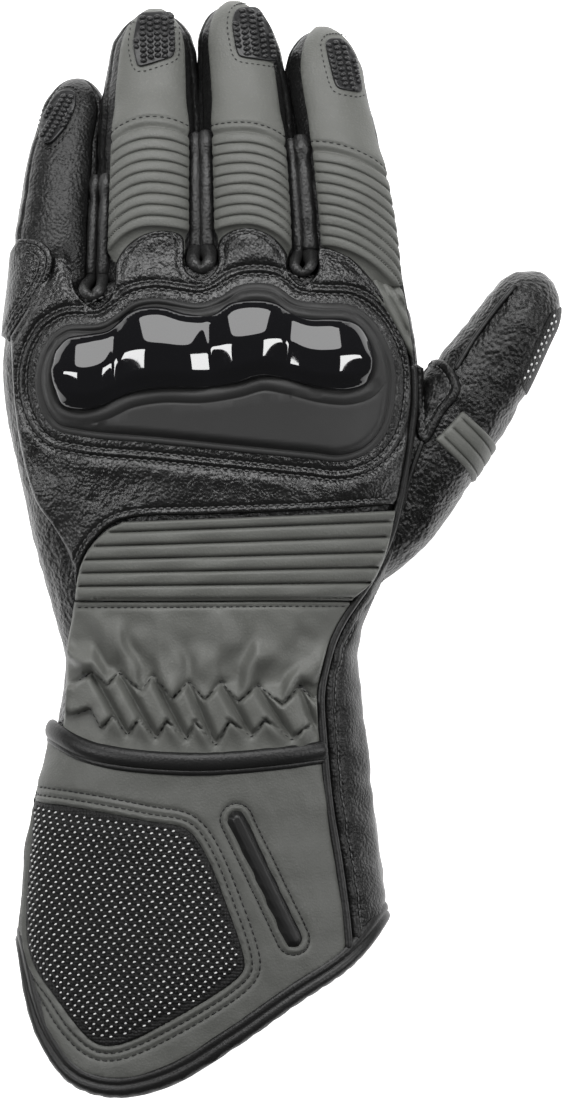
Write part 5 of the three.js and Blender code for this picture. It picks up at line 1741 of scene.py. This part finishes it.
class GLOVE_OT_gauntlet(bpy.types.Operator):
    """Adds the cuff's grey leather, its bindings, the knitted patch and the slot"""

    bl_idname = "glove.gauntlet"
    bl_label = "Gauntlet"

    SLOT_RADIUS = 2.9
    ROWS_BY_MESH, ROW_BY_SLOT = (2.0, 4.2), 1.8
    ROLL_WIDE, ROLL_HIGH = 2.8, 1.6
    DOT_TILT, DOT_WIDE = -8.0, 0.62

    def execute(self, context):
        self.mesh_outline = anticlockwise(CUFF.flat(closed_spline(MESH_OUTLINE, 0.9), 2.0))
        self.slot_outline = anticlockwise(CUFF.flat(rounded_bar(*SLOT_BAR, self.SLOT_RADIUS)))
        sewing = self.flap()
        self.bindings()
        self.knit_patch()
        self.slot()
        finish_piece(sewing.make("gauntlet_thread"), "black_thread", "grey_leather")
        return {"FINISHED"}

    def flap(self):
        """Adds the cuff's grey leather, and gives the rows of stitches that lie in it."""
        right = CUFF.flat(seam_places(-60.5, -117.5, -1.6))[::-1]
        hem_turns = np.linspace(CUFF_LOW_TURN, CUFF.angle(right[0, 0]), 150)
        hem = places_at(CUFF.across(hem_turns), inside_hem(hem_turns, 5.0))
        right = right[right[:, 1] > hem[-1, 1] + 0.8]
        top_turns = np.linspace(CUFF.angle(right[-1, 0]), CUFF_LOW_TURN, 120)
        top = places_at(CUFF.across(top_turns), meet(top_turns, CUFF_TOP_CURVE, 2.0) - 1.0)
        left = spline([top[-1], hem[0]], 1.0)
        sides = (resample(hem, 1.0), right, resample(top, 1.0), left)
        outline = np.vstack([side[:-1] for side in sides])
        rows = [shifted(self.mesh_outline, -away, closed=True) for away in self.ROWS_BY_MESH]
        slot_row = shifted(self.slot_outline, -self.ROW_BY_SLOT, closed=True)

        def relief(flat, on_skin, distance):
            away = distance_out(self.mesh_outline, flat)
            rise = 0.25 * waves(on_skin, 18.0, 81) + 0.08 * waves(on_skin, 5.0, 82)
            rise = rise + 0.35 * dip(away - 0.9, 0.9) - 1.3 * smooth_step((0.5 - away) / 1.0)
            slot = distance_out(self.slot_outline, flat)
            return rise + 0.4 * dip(slot - 0.6, 0.7) - 0.9 * smooth_step(-slot / 0.6)

        channels = [Channel(row, True, 0.45, 0.6) for row in (*rows, slot_row)]
        patch = Patch(CUFF, outline, SHELL_GAP, PANEL_THICK, 0.9, relief, channels=channels)
        piece = patch.make("gauntlet_leather", 1.05)
        # The cuff's leather is painted darker than the fingers' grey: painted shade of the light falling off
        # towards the cuff
        finish_piece(piece, "cuff_grey_leather", "grey_leather", "gauntlet_flap", fill=0.4)
        sewing = stitches()
        for row in rows:
            kept = well_inside(patch.outline, row, 1.0)
            first = int(np.argmin(kept))
            sewing.along(patch, np.roll(row, -first, axis=0)[np.roll(kept, -first)])
        sewing.along(patch, slot_row, closed=True, pitch=1.7)
        return sewing

    def bindings(self):
        turns = np.radians(np.arange(0, 360, 2.0))
        rings = [
            ARM.point(inside_hem(turns, inward), turns, lift, max(0.0, -lift)) for inward, lift in HEM_SECTION
        ]
        piece = ring_loop_object("hem_roll", rings)
        finish_piece(piece, "rolled_leather", "binding_leather", "hem_binding", fill=0.7)
        end = CUFF.angle(CUFF.flat(seam_places(-59.0, -60.0, -1.6))[0, 0])
        turns = np.linspace(CUFF_LOW_TURN, end, 120)
        flat = places_at(CUFF.across(turns), meet(turns, CUFF_TOP_CURVE, 2.0))
        path, outward = CUFF.point(flat, 1.7), CUFF.facing(flat, 1.7)
        piece = tube("gauntlet_top_roll", path, self.ROLL_WIDE, self.ROLL_HIGH, 14, outward)
        finish_piece(piece, "rolled_leather", "binding_leather", "gauntlet_top_binding", fill=0.8)
        flat = flat - (0.0, 3.0)
        piece = tube("gauntlet_top_lip", CUFF.point(flat, 1.5), 1.0, 0.75, 10, CUFF.facing(flat, 1.5))
        finish_piece(piece, "rolled_leather", "binding_leather", fill=0.8)

    def knit_patch(self):
        outline, pitch = self.mesh_outline, size("dot_pitch")
        patch = Patch(CUFF, outline, SHELL_GAP + 0.5, 0.9, 0.7, self.knit_relief)
        piece = patch.make("knit_patch", 1.0)
        finish_piece(piece, "knitted_mesh", "studded_mesh", "gauntlet_mesh_patch", fill=0.4)
        # The bright dots on a tilted grid are white beads: painted highlights on the knit's rubber bumps
        tilt = np.radians(self.DOT_TILT)
        turn = np.array([[np.cos(tilt), np.sin(tilt)], [-np.sin(tilt), np.cos(tilt)]])
        grid = hex_grid(np.array([[-75.0, -50.0], [75.0, 50.0]]), pitch) * (1.0, 0.7) @ turn
        places = grid + outline.mean(axis=0)
        places = places[well_inside(outline, places, 1.8)]
        long_way = np.random.default_rng(91).uniform(0.7, 1.05, len(places))
        sizes = np.stack(np.broadcast_arrays(long_way, self.DOT_WIDE, self.DOT_WIDE), axis=-1)
        self.sprinkle("knit_dots", "bright_dots", patch, places, 0.25, (0.9, 0.3, 0.0), sizes)
        loops = (places[:, None, :] + np.array([[0.5, 0.22], [-0.5, 0.22]]) * pitch).reshape(-1, 2)
        loops = loops[well_inside(outline, loops, 1.4)]
        sizes = (1.5, 0.75, 0.8)
        self.sprinkle("knit_loops", "knitted_mesh", patch, loops, 0.05, (1.0, -0.8, 0.0), sizes)

    def sprinkle(self, name, finish, patch, places, above, way, sizes):
        """Small ovals over the knit, which lie along its surface one way."""
        up = patch.facing(places)
        ahead = unit(way - up * np.sum(way * up, axis=1, keepdims=True))
        piece = scatter(name, bead(5, 4), patch.point(places, above), ahead, up, sizes)
        finish_piece(piece, finish, "studded_mesh")

    def knit_relief(self, flat, on_skin, distance):
        return 0.9 * smooth_step((distance - 1.5) / 5.0)

    def slot(self):
        bar = Patch(CUFF, self.slot_outline, SHELL_GAP + 0.35, 1.1, 0.7, self.slot_relief)
        finish_piece(bar.make("slot_bar", 0.7), "slot_rubber", "moulded_rubber", "gauntlet_slot_bar")

    def slot_relief(self, flat, on_skin, distance):
        return 1.25 * smooth_step((distance - 0.55) / 1.3) - 0.3 * dip(distance - 0.5, 0.3)


# Thumb


class GLOVE_OT_thumb(bpy.types.Operator):
    """Adds the thumb's ribbed band, the patch in its crotch, its seams and its dotted grip"""

    bl_idname = "glove.thumb"
    bl_label = "Thumb"

    BAND_PITCH = 3.75
    BAND_FIRST = 50.0
    BAND_SLANT = 0.235
    DOT_STEP = 2.2
    CROTCH = (
        (38.2, 50.0), (41.6, 54.6), (45.6, 54.8), (50.8, 46.2), (46.0, 38.6), (40.6, 30.4), (38.0, 33.0),
    )
    SEAMS = {
        "thumb_side_seam": ((66.4, 76.1), (60.5, 69.0), (54.6, 61.0), (49.4, 52.3)),
        "thumb_root_seam": ((39.6, 30.6), (36.6, 22.0), (33.8, 12.0), (30.6, 2.0), (27.6, -6.0)),
    }

    def execute(self, context):
        self.skin = Skin(THUMB, 45)
        self.band()
        self.crotch()
        self.seams()
        self.grip()
        return {"FINISHED"}

    def band_level(self, flat):
        """Number of the rib at flat places of the band, which runs back a little towards the palm."""
        return (self.BAND_FIRST - self.BAND_SLANT * (flat[:, 0] + 3.0) - flat[:, 1]) / self.BAND_PITCH

    def band(self):
        skin = self.skin
        left = skin.shares([(0.03, 51.0), (-0.04, 45.0), (-0.12, 39.6)])
        far = skin.across(np.radians(-32.0))
        low = [left[-1], (0.5 * (left[-1, 0] + far), 36.4), (far, 33.8)]
        high = [(far, 45.6), (0.5 * (left[0, 0] + far), 48.4), left[0]]
        outline = outline_of(low, [(far, 33.8), (far, 45.6)], high, left, step=0.8)

        def relief(flat, on_skin, distance):
            return padded_rib(self.band_level(flat)) - 0.6

        across = np.arange(left[:, 0].min() - 1.0, far + 1.0, 0.8)
        first = self.BAND_FIRST - self.BAND_SLANT * (across + 3.0)
        rows = [places_at(across, first - number * self.BAND_PITCH) for number in rib_numbers(range(-1, 4))]
        patch = Patch(skin, outline, SHELL_GAP - 1.0, PANEL_THICK, 0.8, relief)
        piece = patch.make("thumb_band", fill=np.vstack(rows))
        finish_piece(piece, "smooth_grey_leather", "grey_leather", "thumb_rib_panel", fill=0.7)

    def crotch(self):
        skin = self.skin
        outline = anticlockwise(skin.flat(closed_spline(self.CROTCH, 0.7), 1.5))

        def relief(flat, on_skin, distance):
            creases = waves(flat * (0.35, 1.0), 3.2, 95)
            return 0.3 * creases * smooth_step((distance - 2.0) / 2.0) + 0.15 * dip(distance - 1.2, 0.9)

        row = Channel(shifted(outline, 2.7, closed=True), True, 0.3, 0.6)
        patch = Patch(skin, outline, SHELL_GAP + 0.1, 1.1, 0.8, relief, channels=[row])
        piece = patch.make("thumb_crotch", 0.8)
        finish_piece(piece, "soft_black_leather", "black_leather", "thumb_crotch_patch", fill=0.5)
        sewing = stitches()
        sewing.along(patch, row.curve, RAISED, closed=True, pitch=2.1)
        # The stitches round the crotch patch are black thread painted lighter: painted highlights
        finish_piece(sewing.make("thumb_crotch_thread"), "waxed_thread", "black_leather")

    def seams(self):
        for name, plan in self.SEAMS.items():
            flat = self.skin.flat(spline(plan, 0.8), 1.0)
            piece = tube(name, self.skin.point(flat, 0.25), 0.75, 0.6, 8, self.skin.facing(flat, 0.2))
            finish_piece(piece, "rolled_leather", "black_leather", fill=0.8)

    def grip(self):
        skin = self.skin
        left = skin.across(THUMB.angle_of(0.7))
        far = skin.across(np.radians(-24.0))
        bend = left + 2.5
        corners = [(left, 68.0), (left, 88.0), (bend, 90.5), (far, 90.5), (far, 66.0), (bend, 66.0)]
        outline = rounded_outline(corners, 0.8)
        patch = Patch(skin, outline, SHELL_GAP - 0.25, 0.6, 0.6)
        piece = patch.make("thumb_grip", 1.0)
        finish_piece(piece, "knitted_mesh", "studded_rubber", "thumb_perforated_patch", fill=0.4)
        rows = ((1.5, 68.5), (3.6, 69.6))
        places = [places_at(left + offset, np.arange(first, 88.5, self.DOT_STEP)) for offset, first in rows]
        places = np.vstack(places)
        places = places[well_inside(outline, places, 0.8)]
        ahead = patch.point(places + (0.0, 0.2)) - patch.point(places - (0.0, 0.2))
        middle, up = patch.point(places, 0.1), patch.facing(places)
        # The grip's bright dots are white beads in the same finish as the knit's dots: painted highlights
        piece = scatter("thumb_dots", bead(6, 5), middle, ahead, up, (0.9, 0.9, 0.5))
        finish_piece(piece, "bright_dots", "studded_rubber")


# Studio

CAMERA_PLACE = (0.0, -0.0007, 2.683)
LENS, SENSOR_WIDTH, CLIP_END = 300.0, 36.0, 20.0
FLOOR_SIZE, FLOOR_DROP = 12.0, 0.0003
TARGET = (-0.02, 0.05, 0.03)
WHITE = (1.0, 1.0, 1.0, 1.0)
# place, spread, power and shape of each light
LIGHTS = {
    "far_softbox": ((-0.03, 0.74, 0.76), (1.08, 0.68), 10.4, "ELLIPSE"),
    "left_strip": ((-1.05, 0.2, 1.2), (0.17, 0.8), 7.0, "RECTANGLE"),
    "right_strip": ((1.05, 0.2, 1.2), (0.17, 0.8), 7.0, "RECTANGLE"),
}


class GLOVE_OT_studio(bpy.types.Operator):
    """Adds the pale floor, the soft lights and the camera straight above"""

    bl_idname = "glove.studio"
    bl_label = "Studio"

    def execute(self, context):
        scene = context.scene
        bpy.ops.object.select_all(action="DESELECT")
        bpy.ops.mesh.primitive_plane_add(size=FLOOR_SIZE, location=(0.0, 0.0, -FLOOR_DROP))
        floor = context.active_object
        floor.name = "studio_floor"
        paper = Shader("studio_paper")
        tone = paper.mix(paper.noise(400.0), colour("floor"), colour("floor", 1.02))
        glow = {"Emission_Color": WHITE, "Emission_Strength": 1.05}
        floor.data.materials.append(paper.surface(tone, 0.9, **glow))
        world = bpy.data.worlds.new("studio_air")
        scene.world = world
        world.use_nodes = True
        air = world.node_tree.nodes["Background"].inputs
        air["Color"].default_value, air["Strength"].default_value = WHITE, 0.1
        scene.view_settings.view_transform = "Standard"
        for name, settings in LIGHTS.items():
            self.light(name, *settings)
        camera = bpy.data.objects.new("camera", bpy.data.cameras.new("camera"))
        scene.collection.objects.link(camera)
        camera.data.lens, camera.data.sensor_width = LENS, SENSOR_WIDTH
        camera.data.clip_end = CLIP_END
        camera.location = CAMERA_PLACE
        scene.camera = camera
        return {"FINISHED"}

    def light(self, name, place, spread, power, shape):
        """A soft flat light turned towards the glove."""
        lamp = bpy.data.lights.new(name, "AREA")
        lamp.shape = shape
        lamp.size, lamp.size_y = spread
        lamp.energy = power
        holder = bpy.data.objects.new(name, lamp)
        bpy.context.scene.collection.objects.link(holder)
        holder.location = place
        holder.rotation_euler = (Vector(TARGET) - Vector(place)).to_track_quat("-Z", "Y").to_euler()


# Add-on


class GLOVE_PT_steps(bpy.types.Panel):
    """Sidebar page with the glove's sizes, colours and steps"""

    bl_idname = "GLOVE_PT_steps"
    bl_label = "Winter motorcycle glove"
    bl_space_type = "VIEW_3D"
    bl_region_type = "UI"
    bl_category = "Glove"

    def draw(self, context):
        for group in (context.scene.glove_sizes, context.scene.glove_colours):
            box = self.layout.box()
            for name in group.__annotations__:
                box.prop(group, name)
        for step in STEPS:
            self.layout.operator(step.bl_idname)


STEPS = (
    GLOVE_OT_finishes,
    GLOVE_OT_hand,
    GLOVE_OT_fingers,
    GLOVE_OT_finger_backs,
    GLOVE_OT_tip_pads,
    GLOVE_OT_hand_back,
    GLOVE_OT_sides,
    GLOVE_OT_knuckles,
    GLOVE_OT_wrist,
    GLOVE_OT_gauntlet,
    GLOVE_OT_thumb,
    GLOVE_OT_studio,
)
CLASSES = (GloveSizes, GloveColours, *STEPS, GLOVE_PT_steps)


def register():
    for piece in CLASSES:
        bpy.utils.register_class(piece)
    bpy.types.Scene.glove_sizes = bpy.props.PointerProperty(type=GloveSizes)
    bpy.types.Scene.glove_colours = bpy.props.PointerProperty(type=GloveColours)


def unregister():
    del bpy.types.Scene.glove_colours
    del bpy.types.Scene.glove_sizes
    for piece in reversed(CLASSES):
        bpy.utils.unregister_class(piece)


def main():
    """Builds the glove and its studio."""
    register()
    bpy.ops.glove.finishes()
    bpy.ops.glove.studio()
    bpy.ops.glove.hand()
    bpy.ops.glove.fingers()
    bpy.ops.glove.finger_backs()
    bpy.ops.glove.tip_pads()
    bpy.ops.glove.hand_back()
    bpy.ops.glove.sides()
    bpy.ops.glove.knuckles()
    bpy.ops.glove.wrist()
    bpy.ops.glove.gauntlet()
    bpy.ops.glove.thumb()
    bpy.context.view_layer.update()


if __name__ == "__main__":
    main()
